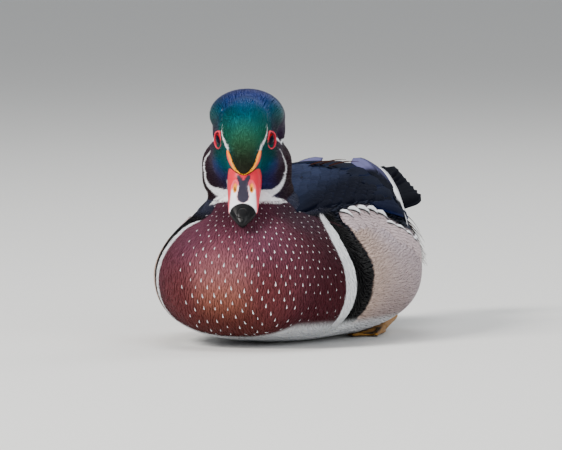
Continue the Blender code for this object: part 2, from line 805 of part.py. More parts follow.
def joined(name, base, pieces, finish, cutters=()):
    """One closed body: the base fused with its pieces, then cut clear of its neighbours.

    Where many pieces were fused, the needless corners along their flat seams are merged.
    """
    body = add_node(name, base, finish)
    if pieces:
        apply_boolean(body, pieces, "UNION", finish)
    if cutters:
        apply_boolean(body, cutters, "DIFFERENCE", finish)
    keep_largest(body)
    if len(pieces) > MANY_PIECES:
        thin = body.modifiers.new("seams", "DECIMATE")
        thin.ratio = SEAM_SHARE
        apply_modifiers(body)
    body.data.shade_smooth()
    body.data.set_sharp_from_angle(angle=math.radians(40))
    return body


def cut_level(obj):
    """Cuts an object level at the floor."""
    shape = bmesh.new()
    shape.from_mesh(obj.data)
    cut = bmesh.ops.bisect_plane(
        shape,
        geom=shape.verts[:] + shape.edges[:] + shape.faces[:],
        plane_co=(0, 0, 0),
        plane_no=(0, 0, -1),
        clear_outer=True,
        dist=1e-6,
    )
    rim = [e for e in cut["geom_cut"] if isinstance(e, bmesh.types.BMEdge)]
    bmesh.ops.holes_fill(shape, edges=rim, sides=0)
    bmesh.ops.recalc_face_normals(shape, faces=shape.faces)
    shape.to_mesh(obj.data)
    shape.free()


def main():
    clear_scene()
    torso = torso_surface()
    flanks = flank_vanes()
    flanks += [mirrored(shape) for shape in flanks]
    cut_level(joined("torso", torso, flanks, "plumage"))
    torso_clear = inflated(torso)

    head = on_head(blended_surface(HEAD_MIDDLE, HEAD_FORMS, HEAD_RINGS, HEAD_SIDES))
    sides = (("left", 1), ("right", -1))
    sockets = [on_head(eye_surface(side, EYE_RADIUS + GAP)) for _, side in sides]
    lids = [on_head(lid_surface(side)) for _, side in sides]
    joined("head", head, lids, "head_plumage", (*sockets, torso_clear))
    for name, side in sides:
        joined("eye_" + name, on_head(eye_surface(side, EYE_RADIUS)), [], "eye")
    head_clear = inflated(head)

    neck = neck_surface()
    neck_clear = inflated(neck)
    joined("neck", neck, [], "neck_plumage", (torso_clear, head_clear))

    upper, nail = on_head(bill_half(UPPER_BILL, 12, True)), on_head(ball(*NAIL))
    middle, radii = NOSTRIL
    nostrils = [on_head(ball(Vector((side * middle.x, middle.y, middle.z)), radii)) for _, side in sides]
    joined("bill_upper", upper, [nail], "bill", (head_clear, neck_clear, *nostrils))
    lower = on_head(bill_half(LOWER_BILL, 8, False))
    joined("bill_lower", lower, [], "bill", (head_clear, neck_clear, inflated(upper), inflated(nail)))

    crest = on_head(blended_surface(CREST_MIDDLE, CREST_FORMS, 9, 16))
    locks = [on_head(shape) for shape in crest_locks()]
    joined("crest", crest, locks, "head_plumage", (head_clear, neck_clear, torso_clear))

    spine = box((-GAP / 2, -150, 60), (GAP / 2, 160, 130))
    flanks_clear = [inflated(shape) for shape in flanks]
    wing_parts = [wing_core(), *wing_vanes()]
    for name, side in sides:
        parts = wing_parts if side > 0 else [mirrored(shape) for shape in wing_parts]
        near = flanks_clear[: len(flanks) // 2] if side > 0 else flanks_clear[len(flanks) // 2 :]
        cutters = (torso_clear, neck_clear, head_clear, spine, *near)
        joined("wing_" + name, parts[0], parts[1:], "wing_plumage", cutters)

    joined("tail", tail_base(), tail_vanes() + rump_tufts(), "tail_plumage", (torso_clear,))

    for name, side in sides:
        pieces = leg_pieces(side)
        cut_level(joined("leg_" + name, pieces[0], pieces[1:], "foot", (torso_clear,)))


main()
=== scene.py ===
"""The looks of a drake wood duck at life size: one skin, its plumage in tracts, bill, eyes, legs and stage.

Lengths are in millimetres and angles in degrees until a mesh is made, which is in metres. The bird
faces -Y and its left side is +X. The head has a frame of its own, with the eyes' midpoint as origin.
"""

import math

import bpy
import numpy as np
from bpy.props import FloatProperty, FloatVectorProperty, IntProperty, PointerProperty
from mathutils import Matrix, Vector
from mathutils.bvhtree import BVHTree
from mathutils.kdtree import KDTree


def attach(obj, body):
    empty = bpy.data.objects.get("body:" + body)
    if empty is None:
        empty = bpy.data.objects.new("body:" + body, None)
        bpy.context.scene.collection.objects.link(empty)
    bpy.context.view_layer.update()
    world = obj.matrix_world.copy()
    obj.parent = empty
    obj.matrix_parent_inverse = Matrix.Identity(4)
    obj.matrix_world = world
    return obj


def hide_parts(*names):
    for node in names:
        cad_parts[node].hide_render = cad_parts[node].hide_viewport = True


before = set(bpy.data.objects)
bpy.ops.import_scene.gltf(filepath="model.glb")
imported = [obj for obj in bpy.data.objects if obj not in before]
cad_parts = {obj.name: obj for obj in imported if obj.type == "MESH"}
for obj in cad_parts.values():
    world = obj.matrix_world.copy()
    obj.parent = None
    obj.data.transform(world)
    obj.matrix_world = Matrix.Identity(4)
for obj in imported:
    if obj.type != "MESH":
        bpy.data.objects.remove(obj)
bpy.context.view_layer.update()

bl_info = {
    "name": "Wood Duck Drake",
    "version": (1, 0, 0),
    "blender": (4, 5, 0),
    "location": "View3D > Sidebar > Duck",
    "description": "Dresses the solids of a drake wood duck in skin, feathers, bill, eyes and feet",
    "category": "Object",
}

MM = 0.001
SIDES = ((1, "left"), (-1, "right"))

# The body's stations, as the solids have them: y, half width, belly height, back height, height of
# the widest line, and how square the upper half is
TORSO = (
    (-140, 0, 52, 52, 52, 2.0),
    (-132, 29, 23, 66, 46, 2.0),
    (-117, 45.5, 9, 77, 44, 1.9),
    (-95, 56.5, 4, 87, 43, 1.8),
    (-62, 68, 0, 94.5, 42, 1.6),
    (-30, 73, -1.5, 97.5, 41, 1.6),
    (0, 75.5, -1.5, 99.5, 40, 1.62),
    (25, 76, -1.5, 100, 40, 1.68),
    (50, 71, 1, 98.5, 41, 1.78),
    (75, 61, 8, 96, 45, 1.88),
    (95, 49, 20, 93, 52, 1.96),
    (115, 36, 35, 88, 60, 2.0),
    (132, 21, 50, 82, 66, 2.0),
    (142, 0, 68, 68, 68, 2.0),
)
# the same of the folded wings' outer surface
WING_SHELL = (
    (-112, 38, 30, 72, 45, 1.8),
    (-95, 55, 4, 86, 44, 1.75),
    (-62, 67, 0, 97.5, 43, 1.65),
    (-30, 73.5, -1, 101.5, 42, 1.65),
    (0, 75.5, -1, 104.5, 41, 1.75),
    (25, 74.5, -1, 105.5, 41, 1.85),
    (50, 69, 2, 105, 42, 1.95),
    (75, 59.5, 10, 104, 46, 2.0),
    (95, 49.5, 20, 103, 50, 2.0),
    (115, 40, 35, 102, 58, 2.0),
    (135, 33, 48, 101, 64, 2.0),
    (170, 26, 60, 101, 72, 2.0),
)
# how square the lower half is
LOWER_POWER = 2.35
# where the wings end above the flanks: y and degrees from the top
FLANK_LINE = ((-80, 42), (-62, 43), (-30, 46), (0, 50), (30, 55), (60, 61), (85, 67), (110, 73))
# z, x, y, half width and half depth
NECK_RINGS = (
    (68, 0, -76, 35.5, 36),
    (80, 0, -75, 32, 32.5),
    (91, 0, -74, 27.5, 26.5),
    (102, 0.5, -73, 22, 19),
    (114, 1, -73, 18, 15),
)
# middles and radii of the ovals that melt into head and crest, in the head's frame
HEAD_FORMS = (
    ((0, 7, -1), (17.3, 25, 20)),
    ((0, -10, -7.5), (10.5, 15, 12)),
    ((0, -14, -5.2), (6.6, 12.2, 5.6)),
    ((9, 4, -15.5), (13, 19, 14.5)),
    ((-9, 4, -15.5), (13, 19, 14.5)),
    ((0, 17, 1), (20, 17.5, 10.5)),
    ((0, 12, -28), (27.5, 22, 16)),
    ((0, 4, -37), (27, 18, 14)),
)
CREST_FORMS = (
    ((0, 18.5, 2.2), (21.2, 18.5, 9.8)),
    ((0.3, 22, 3.2), (19.4, 17, 10.2)),
    ((0.6, 29, -6), (22.4, 15.5, 13)),
    ((0.8, 33, -17), (21.8, 11.5, 15)),
    ((0.8, 25, -19.5), (21.2, 9, 10)),
    ((0, 34, -38), (9.5, 9, 13)),
)
# y, z, half width and half height
TAIL_BASE = (
    (112, 72, 15, 10), (128, 73, 16.5, 10.5), (144, 75, 16, 9.5), (158, 79, 14, 6.5), (168, 83, 10, 3.5)
)
# over how many millimetres the ovals melt together
FORM_BLEND = 1.6
EYE_MIDPOINT = np.array((2.9, -98.0, 126.5))
HEAD_PITCH = 37
HEAD_YAW = 15.5
EYE_SPREAD = 13.0
EYE_RADIUS = 5.3
EYE_FORWARD = 24
EYE_SET_BACK = 0.35
HEAD_TURN = np.array(
    Matrix.Rotation(math.radians(HEAD_YAW), 3, "Z") @ Matrix.Rotation(math.radians(HEAD_PITCH), 3, "X")
)
# the collar between head and body, by y and height
COLLAR_Y = (-100, -88, -74, -60)
COLLAR_HEIGHT = (88.5, 88.5, 93, 99)


def unit(vectors):
    """The vectors at length 1."""
    return vectors / np.maximum(np.linalg.norm(vectors, axis=-1, keepdims=True), 1e-9)


def ramp(low, high, values):
    """0 under low, 1 over high and smooth between."""
    t = np.clip((values - low) / (high - low), 0, 1)
    return t * t * (3 - 2 * t)


def along_table(table, at):
    """Values of a table of pairs, straight between them."""
    knots, values = np.array(table, float).T
    return np.interp(at, knots, values)


def to_head(points):
    """From the bird's frame to the head's."""
    return (points - EYE_MIDPOINT) @ HEAD_TURN


def from_head(points):
    """From the head's frame to the bird's."""
    return points @ HEAD_TURN.T + EYE_MIDPOINT


def smooth_rows(table, at):
    """Smooth curves through a table's columns, over its first one."""
    rows = np.array(table, float)
    knots, values = rows[:, 0], rows[:, 1:]
    slopes = np.gradient(values, knots, axis=0)
    at = np.clip(at, knots[0], knots[-1])
    i = np.clip(np.searchsorted(knots, at, side="right") - 1, 0, len(knots) - 2)
    step = (knots[i + 1] - knots[i])[..., None]
    t = (at - knots[i])[..., None] / step
    ends = values[i] * (1 + 2 * t) * (1 - t) ** 2 + values[i + 1] * (3 - 2 * t) * t**2
    return ends + step * (slopes[i] * t * (1 - t) ** 2 - slopes[i + 1] * (1 - t) * t**2)


def section_points(row, y, angle):
    """Points of the body's cross sections; the angle in radians is 0 at the top."""
    half_width, low, high, wide, power = np.moveaxis(row, -1, 0)
    side, rise = np.sin(angle), np.cos(angle)
    power = np.where(rise > 0, power, LOWER_POWER)
    reach = np.where(rise > 0, high - wide, wide - low)
    x = half_width * np.sign(side) * np.abs(side) ** (2 / power)
    z = wide + reach * np.sign(rise) * np.abs(rise) ** (2 / power)
    return np.stack([x, y + 0 * x, z], -1)


def torso_points(y, angle):
    """Points of the torso's surface."""
    first, last = TORSO[0][0], TORSO[-1][0]
    rounded = [(math.acos(1 - 2 * (row[0] - first) / (last - first)), *row[1:]) for row in TORSO]
    turn = np.arccos(1 - 2 * np.clip((y - first) / (last - first), 0, 1))
    return section_points(smooth_rows(rounded, turn), y, angle)


def shell_points(y, angle):
    """Points of the folded wings' outer surface."""
    return section_points(smooth_rows(WING_SHELL, y), y, angle)


def flank_angles(y):
    """Where the flank feathers end, in degrees from the top."""
    return smooth_rows(FLANK_LINE, np.asarray(y, float))[..., 0]


def surface_normals(surface, y, angle):
    """Outward normals of a surface function."""
    along = surface(y + 1, angle) - surface(y - 1, angle)
    around = surface(y, angle + 0.02) - surface(y, angle - 0.02)
    return unit(np.cross(around, along))


def form_distance(points, forms):
    """How far points in the head's frame are outside a group of melted ovals."""
    total = 0
    for middle, radii in forms:
        radii = np.array(radii, float)
        outside = (np.linalg.norm((points - np.array(middle)) / radii, axis=-1) - 1) * radii.min()
        total = total + np.exp(-outside / FORM_BLEND)
    return -FORM_BLEND * np.log(total)


def tube(rings):
    """Vertices and faces of a closed tube through rings of points, with a point in the middle of each end."""
    count, around = rings.shape[:2]
    middles = [ring.mean(0, keepdims=True) for ring in (rings[0], rings[-1])]
    points = np.concatenate([rings.reshape(-1, 3), *middles])
    k, m = np.meshgrid(np.arange(count - 1), np.arange(around), indexing="ij")
    k, m, after = k.ravel(), m.ravel(), (m.ravel() + 1) % around
    sides = np.stack([k * around + m, k * around + after, (k + 1) * around + after, (k + 1) * around + m], -1)
    m = np.arange(around)
    after = (m + 1) % around
    first, last = count * around, count * around + 1
    start = np.stack([np.full(around, first), after, m], -1)
    end = np.stack([np.full(around, last), (count - 1) * around + m, (count - 1) * around + after], -1)
    return points, [sides, np.concatenate([start, end])]


def new_piece(name, points, faces, uvs=None, tint=None):
    """A mesh object from arrays in millimetres, with its UV maps and its colours by vertex."""
    mesh = bpy.data.meshes.new(name)
    corners = np.concatenate([f.ravel() for f in faces]).astype(np.int32)
    totals = np.concatenate([np.full(len(f), f.shape[1]) for f in faces])
    starts = np.concatenate([[0], np.cumsum(totals)[:-1]]).astype(np.int32)
    mesh.vertices.add(len(points))
    mesh.vertices.foreach_set("co", (np.asarray(points) * MM).astype(np.float32).ravel())
    mesh.loops.add(len(corners))
    mesh.loops.foreach_set("vertex_index", corners)
    mesh.polygons.add(len(totals))
    mesh.polygons.foreach_set("loop_start", starts)
    mesh.polygons.foreach_set("use_smooth", np.ones(len(totals), bool))
    mesh.update(calc_edges=True)
    for layer_name, uv in (uvs or {}).items():
        layer = mesh.uv_layers.new(name=layer_name)
        layer.data.foreach_set("uv", uv[corners].astype(np.float32).ravel())
    if tint is not None:
        paint(mesh, tint)
    piece = bpy.data.objects.new(name, mesh)
    bpy.context.scene.collection.objects.link(piece)
    return piece


def paint(mesh, tint):
    """Colours by vertex, with gloss as their fourth number."""
    layer = mesh.color_attributes.new("tint", "FLOAT_COLOR", "POINT")
    layer.data.foreach_set("color", tint.astype(np.float32).ravel())


def mesh_arrays(mesh):
    """A mesh's points in millimetres, and its triangles."""
    points = np.zeros(len(mesh.vertices) * 3, np.float32)
    mesh.vertices.foreach_get("co", points)
    mesh.calc_loop_triangles()
    triangles = np.zeros(len(mesh.loop_triangles) * 3, np.int32)
    mesh.loop_triangles.foreach_get("vertices", triangles)
    return points.reshape(-1, 3).astype(float) / MM, triangles.reshape(-1, 3)


def vertex_normals(mesh):
    """A mesh's normals by vertex."""
    normals = np.zeros(len(mesh.vertices) * 3, np.float32)
    mesh.vertices.foreach_get("normal", normals)
    return normals.reshape(-1, 3)


# Colours by place. Tones are given on the left and mirrored. Lines that differ are given for each side.

# how much deeper colours are than the screen shows them, as the soft light lifts dark tones
DEPTH_OF_TONE = 1.22


def colour(red, green, blue):
    """A colour as the screen shows it, from 0 to 255, made linear and deeper."""
    value = np.array((red, green, blue), float) / 255
    return np.where(value <= 0.04045, value / 12.92, ((value + 0.055) / 1.055) ** 2.4) ** DEPTH_OF_TONE


def with_gloss(tone, gloss=0.0):
    """A colour, or one for each point, with gloss as the fourth number."""
    return np.concatenate([tone, np.full((*np.shape(tone)[:-1], 1), gloss)], -1)


def all_over(tone, points):
    """The same colour at each point."""
    return np.tile(tone, (len(points), 1))


WHITE = colour(251, 252, 255)
WHITE_FEATHER = with_gloss(WHITE)
SOOT_FEATHER = with_gloss(colour(12, 12, 17), 0.5)

# place on the head, reach, colour, gloss
HEAD_TONES = (
    ((0, -27, -5), 4.5, (58, 58, 50), 0.2),
    ((0, -22, -1), 4.5, (50, 56, 44), 0.3),
    ((0, -17, 6.4), 4.5, (58, 78, 60), 0.5),
    ((0, -13, 11), 4.5, (74, 120, 90), 0.7),
    ((0, -8, 15), 5, (58, 134, 110), 0.8),
    ((0, -2, 17.6), 6, (4, 114, 120), 1.0),
    ((0, 6, 19), 7, (0, 92, 128), 1.0),
    ((0, 18, 13), 8, (0, 72, 140), 1.0),
    ((0, 32, 8), 8, (34, 38, 112), 1.0),
    ((9, 4, 16), 5, (0, 106, 96), 1.0),
    ((12, -6, 10), 4, (34, 102, 82), 0.8),
    ((18, 26, 9), 5, (26, 52, 116), 1.0),
    ((19.5, 20, 4), 5, (22, 108, 104), 0.9),
    ((19, 14, 1), 4.5, (64, 84, 86), 0.6),
    ((20, 9, -4), 5, (74, 54, 78), 0.4),
    ((22, 20, -9), 7, (62, 42, 74), 0.5),
    ((12, -13, -3), 4, (24, 98, 98), 0.7),
    ((13.5, -13, -10), 4, (0, 92, 100), 0.8),
    ((14, -13, -18), 4, (52, 64, 108), 0.6),
    ((17, -10.5, -20), 3.2, (70, 60, 112), 0.5),
    ((17, -9.5, -14), 3.2, (52, 72, 126), 0.5),
    ((17, -6, -5), 4, (10, 80, 76), 0.8),
    ((22, 0, -14), 5, (76, 62, 78), 0.3),
    ((20, -5, -24), 5, (58, 46, 58), 0.25),
    ((25, 10, -20), 6, (58, 34, 46), 0.3),
    ((26, 14, -28), 7, (56, 26, 36), 0.3),
    ((24, 4, -36), 6, (48, 22, 28), 0.3),
    ((16, 26, -34), 9, (36, 18, 38), 0.4),
    ((0, 40, -6), 8, (22, 50, 110), 1.0),
    ((9, 42, -18), 7, (44, 26, 90), 0.9),
    ((0, 46, -28), 8, (10, 66, 66), 0.9),
    ((0, 42, -44), 9, (14, 30, 46), 0.6),
)
# place on the body, reach, colour, gloss; the maroon ones come first; a few are painted highlights on breast,
# mantle and back
BODY_TONES = (
    ((0, -106, 84), 8, (104, 66, 82), 0.2),
    ((0, -118, 74), 9, (112, 66, 82), 0.2),
    ((0, -130, 60), 11, (136, 84, 100), 0.25),
    # the next two, pale pink and tan low on the breast's middle, are a painted highlight over the maroon
    # breast
    ((0, -137, 46), 10, (176, 124, 128), 0.25),
    ((0, -138, 32), 9, (170, 116, 94), 0.25),
    ((0, -128, 14), 12, (112, 64, 62), 0.15),
    ((26, -122, 66), 11, (130, 84, 102), 0.2),
    ((30, -128, 36), 10, (124, 72, 74), 0.2),
    ((38, -116, 50), 12, (122, 74, 86), 0.2),
    ((50, -100, 60), 12, (94, 56, 66), 0.15),
    ((54, -94, 30), 14, (92, 48, 56), 0.15),
    ((58, -84, 58), 9, (78, 50, 58), 0.15),
    ((40, -90, 78), 8, (88, 66, 78), 0.15),
    # the next three, pale grey-blue along the top of mantle and back, are a painted sheen where light falls
    # from above on the near-black feathers
    ((0, -64, 96), 14, (60, 62, 78), 0.3),
    ((24, -60, 93), 12, (78, 82, 102), 0.3),
    ((6, -20, 103), 18, (62, 70, 98), 0.4),
    ((44, -34, 87), 17, (24, 26, 36), 0.5),
    ((0, 50, 102), 26, (12, 18, 28), 0.8),
    ((40, 50, 86), 20, (12, 18, 30), 0.8),
    ((0, 110, 92), 16, (10, 18, 20), 0.7),
    ((34, 100, 56), 9, (70, 22, 42), 0.4),
    ((30, 118, 50), 10, (30, 16, 22), 0.3),
    ((0, 130, 62), 16, (14, 13, 16), 0.3),
    ((30, 140, 76), 14, (12, 14, 17), 0.5),
    ((0, 160, 84), 20, (10, 15, 17), 0.6),
    ((0, 200, 96), 20, (8, 13, 15), 0.6),
)
MAROONS = 13
# the white edged top of the left flank's feathers
FLANK_TOP = (
    (48.5, -39.4, 80.2),
    (47, -25, 81.6),
    (49.5, -11, 81.6),
    (52.1, 1.3, 80.6),
    (53.8, 7.5, 79.9),
    (56.9, 13.1, 77.2),
    (61.5, 15.5, 73.4),
    (64.2, 27, 70.6),
    (66, 36, 67),
    (68, 48, 61),
    (62, 66, 60),
    (54, 84, 62),
)
# place on the flank, reach, colour, gloss
FLANK_TONES = (
    ((72, -40, 50), 20, (206, 184, 172), 0.04),
    ((76, 0, 46), 20, (204, 188, 190), 0.04),
    ((62, 8, 74), 13, (224, 212, 222), 0.04),
    ((70, 0, 18), 13, (184, 166, 162), 0.04),
    ((72, 40, 44), 20, (194, 180, 184), 0.04),
    ((54, 84, 52), 20, (170, 156, 160), 0.04),
)
# the white lines on the head, in its frame: place and half width, with crown, nape and ear lines mirrored
CROWN_LINE = (
    (9.6, -14.4, 1.6, 0.6),
    (11.2, -11.4, 3.8, 0.95),
    (13.0, -7, 5.8, 0.75),
    (14.0, -3, 7.6, 0.4),
    (14.0, 2, 10.4, 0.06),
    (13.9, 8, 11, -0.02),
    (13.9, 15, 11, -0.04),
    (14.6, 21, 11, -0.15),
)
NAPE_LINE = ((15.0, 34, 5, 0.1), (13.6, 38, 0, 1.0), (10.6, 44, -8, 0.9), (8, 46, -18, 0.6))
EAR_LINE = (
    (18.7, 2.2, -1.2, 0.4),
    (19.8, 6.7, -6.0, 1.0),
    (20.6, 12, -12, 1.1),
    (21.6, 17, -17, 0.9),
    (21, 25, -21, 0.9),
    (18, 32, -24, 0.9),
    (13.6, 39, -29, 0.9),
    (10, 42, -36, 0.8),
    (8, 42, -42, 0.5),
)
LEFT_CHEEK_LINE = (
    (20.7, 1.9, -9.5, 0.3),
    (22.2, 4.6, -15.7, 0.55),
    (23.6, 4.5, -21.4, 0.6),
    (24.2, 2.4, -25.3, 0.65),
    (23.9, -1.2, -28.1, 0.8),
    (22.3, -8.1, -28.4, 1.1),
    (19.9, -13.6, -28.4, 1.5),
    (16.1, -17.8, -28.2, 2.1),
    (10.5, -20.3, -28.4, 3.4),
    (4, -22, -30, 4.0),
)
RIGHT_CHEEK_LINE = (
    (-21.7, 3.2, -12.4, 0.3),
    (-24.0, 7.6, -18, 0.75),
    (-25.2, 8.0, -22.8, 0.85),
    (-25.6, 5.4, -26.4, 0.95),
    (-25.2, 2.0, -29.0, 1.05),
    (-24.2, -0.6, -32.2, 1.15),
    (-21.8, -5.2, -34.0, 1.5),
    (-17.8, -10.5, -33.2, 2.0),
    (-13.1, -15.5, -31.2, 2.9),
    (-4, -21, -31, 4.0),
)
CHIN_LINE = ((0, -20, -31, 7), (0, -12, -35, 8), (0, -4, -40, 7))
# the throat's band across both sides, in the bird's frame
THROAT_BAND = (
    (26.5, -86, 88.2, 0.5),
    (23, -90.3, 88.6, 1.7),
    (19.6, -94, 89.2, 2.2),
    (13.7, -97.4, 90.3, 2.9),
    (5, -100, 91.2, 3.5),
    (-5, -100, 91.2, 3.4),
    (-13.3, -98.1, 89.8, 2.5),
    (-17.6, -96.4, 88, 1.8),
    (-21, -95, 86.4, 0.8),
)
# where breast and back part, from the neck down the white bar to the belly, on each side
LEFT_EDGE = (
    (22, -86, 93), (27, -84, 87), (36.7, -74, 79), (43, -63, 76), (50, -72, 69), (54, -76, 62),
    (60, -78, 50), (63, -76, 34), (60, -72, 15), (50, -66, 4), (20, -60, -4),
)
RIGHT_EDGE = (
    (-15, -97, 92), (-19.5, -106, 82), (-23, -110, 77.5), (-31, -109.5, 74.5), (-36, -109, 70.5),
    (-40, -110.5, 66), (-45, -112.5, 54), (-49.5, -109, 37), (-50, -102, 15), (-44, -92, 4), (-20, -80, -4),
)
LEFT_BAR = (
    (42.2, -63.4, 77.4, 2.9), (44.6, -65.4, 75, 3.6), (50, -70, 69, 4.7), (54, -74, 62, 5.2),
    (60, -75.5, 50, 5.3), (63, -73.5, 34, 5.3), (60, -70, 15, 4.6), (50, -64, 4, 3.6),
)
RIGHT_BAR = (
    (-24, -107.5, 77.5, 0.7), (-30, -106, 75, 2.1), (-35, -105.6, 71.4, 3.5), (-39, -107.1, 66.4, 4.4),
    (-45, -109.6, 54, 4.7), (-49.5, -106.2, 37, 4.6), (-50, -100, 15, 4.0), (-44, -90, 4, 3.0),
)
# the belly is white below this height
BELLY_LEVEL = 13
# heights of the flanks' upper edge by y, and y of their front edge by height
LEFT_TOP = ((-62, 76), (-40, 80), (-13, 82.5), (3, 80.7), (15, 74.5), (36, 67), (60, 63), (85, 61))
RIGHT_TOP = ((-90, 60), (-75, 70), *LEFT_TOP)
LEFT_FRONT = ((10, -46), (37, -49), (50, -46), (63, -47), (72, -43.5), (79, -35), (82.5, -22))
RIGHT_FRONT = ((10, -86), (37, -91), (50, -91), (63, -86), (72, -78), (79, -62), (82.5, -36))

# the skin's surface, the white bars and the white lines, once they are worked out
_known = {}


def skin_surface():
    """The skin as a surface to lay feathers on."""
    if "skin" not in _known:
        _known["skin"] = Surface(bpy.data.objects["skin"].data)
    return _known["skin"]


def head_share(points):
    """1 above the collar and 0 below it."""
    top = np.interp(points[:, 1], COLLAR_Y, COLLAR_HEIGHT)
    return ramp(-0.6, 0.6, points[:, 2] - top) * (points[:, 1] < -20)


def nearest_on_line(points, line):
    """The distance to a line less its half width, the closest place on it and its direction there."""
    line = np.array(line, float)
    if line.shape[1] == 3:
        line = np.concatenate([line, np.zeros((len(line), 1))], 1)
    best = np.full(len(points), 1e9)
    place, heading = np.zeros_like(points), np.zeros_like(points)
    for start, end in zip(line[:-1], line[1:]):
        step = end[:3] - start[:3]
        t = np.clip(((points - start[:3]) @ step) / (step @ step), 0, 1)
        near = start[:3] + t[:, None] * step
        gap = np.linalg.norm(points - near, axis=1) - (start[3] + t * (end[3] - start[3]))
        closer = gap < best
        best = np.where(closer, gap, best)
        place[closer] = near[closer]
        heading[closer] = unit(step)
    return best, place, heading


def on_line(points, line, softness=0.35):
    """1 on a line of varying width and 0 off it."""
    return 1 - ramp(-softness, softness, nearest_on_line(points, line)[0])


def ahead_of(points, edge):
    """How far points are in front of an edge that runs down the body's side."""
    _, place, heading = nearest_on_line(points, edge)
    outward = unit(points - np.array((0, -60, 40)))
    front = unit(np.cross(outward, heading))
    front *= np.sign(-front[:, 1:2] + 1e-9)
    return np.sum((points - place) * front, axis=1)


def mixed(base, over, share):
    """The base colour covered by another one by a share."""
    share = np.clip(share, 0, 1)[:, None]
    return base * (1 - share) + over * share


def on_left(points):
    """The points, with those of the right side mirrored to the left."""
    return np.abs(points * (1, 0, 0)) + points * (0, 1, 1)


def blended_tones(points, tones):
    """Colours and gloss blended from tones at places."""
    points = on_left(points)
    total = np.zeros((len(points), 4))
    weight = np.full((len(points), 1), 1e-12)
    for place, reach, tone, gloss in tones:
        near = np.exp(-0.5 * np.sum((points - np.array(place)) ** 2, axis=1) / reach**2)[:, None] + 1e-9
        total += near * with_gloss(colour(*tone), gloss)
        weight += near
    return total / weight


def is_breast(points):
    """1 on the breast and 0 behind its white bars."""
    x, y, z = points.T
    left = ramp(-0.4, 0.4, ahead_of(points, LEFT_EDGE))
    right = ramp(-0.4, 0.4, ahead_of(points, RIGHT_EDGE))
    surely = (y < np.where(x > 0, -92, -120)) & (z < 80)
    return np.where(surely, 1, np.where(x > 0, left, right))


def flank_share(points):
    """1 on the pale flanks and 0 on back, breast and rump."""
    x, y, z = points.T
    below = ramp(-0.8, 0.8, np.where(x > 0, along_table(LEFT_TOP, y), along_table(RIGHT_TOP, y)) - z)
    front = np.where(x > 0, along_table(LEFT_FRONT, z), along_table(RIGHT_FRONT, z))
    behind = ramp(-0.8, 0.8, y - front)
    rear = 1 - ramp(82, 90, y + 0.15 * (z - 50))
    return below * behind * rear


def tint_body(points):
    """Colours of the body's plumage by place."""
    y, z = points[:, 1], points[:, 2]
    breast = is_breast(points) * (1 - ramp(-58, -50, y))
    dark = blended_tones(points, BODY_TONES[MAROONS:])
    side = ramp(-3, 3, 80 - z) * (1 - ramp(-50, -40, y))
    dark = mixed(dark, SOOT_FEATHER, side)
    tone = mixed(dark, blended_tones(points, BODY_TONES[:MAROONS]), breast)
    tone = mixed(tone, blended_tones(points, FLANK_TONES), flank_share(points))
    belly = ramp(-3, 3, BELLY_LEVEL - z) * ramp(-108, -100, y) * (1 - ramp(84, 96, y))
    tone = mixed(tone, WHITE_FEATHER, belly)
    white = np.maximum(*(on_line(points, bar, 0.25) for bar in white_bars()))
    return mixed(tone, WHITE_FEATHER, white)


def white_bars():
    """The white bars beside the breast, laid on the skin."""
    if "bars" not in _known:
        _known["bars"] = [settled(LEFT_BAR), settled(RIGHT_BAR)]
    return _known["bars"]


def smooth_line(line, steps):
    """A line of places and half widths made finer, with a number of steps from each place to the next."""
    rows = np.array(line, float)
    knots = np.arange(len(rows))
    fine = np.linspace(0, knots[-1], knots[-1] * steps + 1)
    return smooth_rows(np.concatenate([knots[:, None], rows], 1), fine)


def settled(line):
    """A line of places and half widths, made finer and laid on the skin."""
    fine = smooth_line(line, 3)
    place, normal = skin_surface().nearest(fine[:, :3])
    return np.concatenate([place + normal * 0.5, np.maximum(fine[:, 3:4], -0.2)], 1)


def white_lines():
    """The white lines of head and throat on both sides, in the bird's frame."""
    if "lines" not in _known:
        lines = [(settled(THROAT_BAND), 0.3)]
        both, one = (1, -1), (1,)
        for line, softness, sides in (
            (CROWN_LINE, 0.2, both),
            (NAPE_LINE, 0.25, both),
            (EAR_LINE, 0.25, both),
            (CHIN_LINE, 0.5, one),
            (LEFT_CHEEK_LINE, 0.25, one),
            (RIGHT_CHEEK_LINE, 0.25, one),
        ):
            for side in sides:
                rows = np.array(line, float)
                rows[:, 0] *= side
                rows[:, :3] = from_head(rows[:, :3])
                lines.append((settled(rows), softness))
        _known["lines"] = lines
    return _known["lines"]


def tint_head(points):
    """Colours of the head's plumage by place."""
    tone = blended_tones(to_head(points), HEAD_TONES)
    white = np.zeros(len(points))
    for line, softness in white_lines():
        white = np.maximum(white, on_line(points, line, softness))
    return mixed(tone, WHITE_FEATHER, white)


def tint_at(points):
    """The bird's colours by place, with gloss as the fourth number."""
    head = head_share(points)
    tone = np.zeros((len(points), 4))
    low, high = head < 1, head > 0
    tone[low] = tint_body(points[low])
    tone[high] = mixed(tone[high], tint_head(points[high]), head[high])
    near = (points[:, 2] > 80) & (points[:, 2] < 95) & ~high
    band, softness = white_lines()[0]
    tone[near] = mixed(tone[near], WHITE_FEATHER, on_line(points[near], band, softness))
    return tone


# Skin, roots and vanes


def torso_rings():
    """Rings of the torso, raised to the folded wings' surface above the flanks."""
    turns = np.linspace(0.02, math.pi - 0.02, 110)
    ys = TORSO[0][0] + (TORSO[-1][0] - TORSO[0][0]) * (1 - np.cos(turns)) / 2
    angles = np.linspace(-math.pi, math.pi, 160, endpoint=False)
    y, angle = np.meshgrid(ys, angles, indexing="ij")
    wing = ramp(-1, 3, flank_angles(y) - np.abs(np.degrees(angle)))
    wing = wing * ramp(-84, -55, y) * (1 - ramp(70, 96, y))
    return torso_points(y, angle) * (1 - wing[..., None]) + shell_points(y, angle) * wing[..., None]


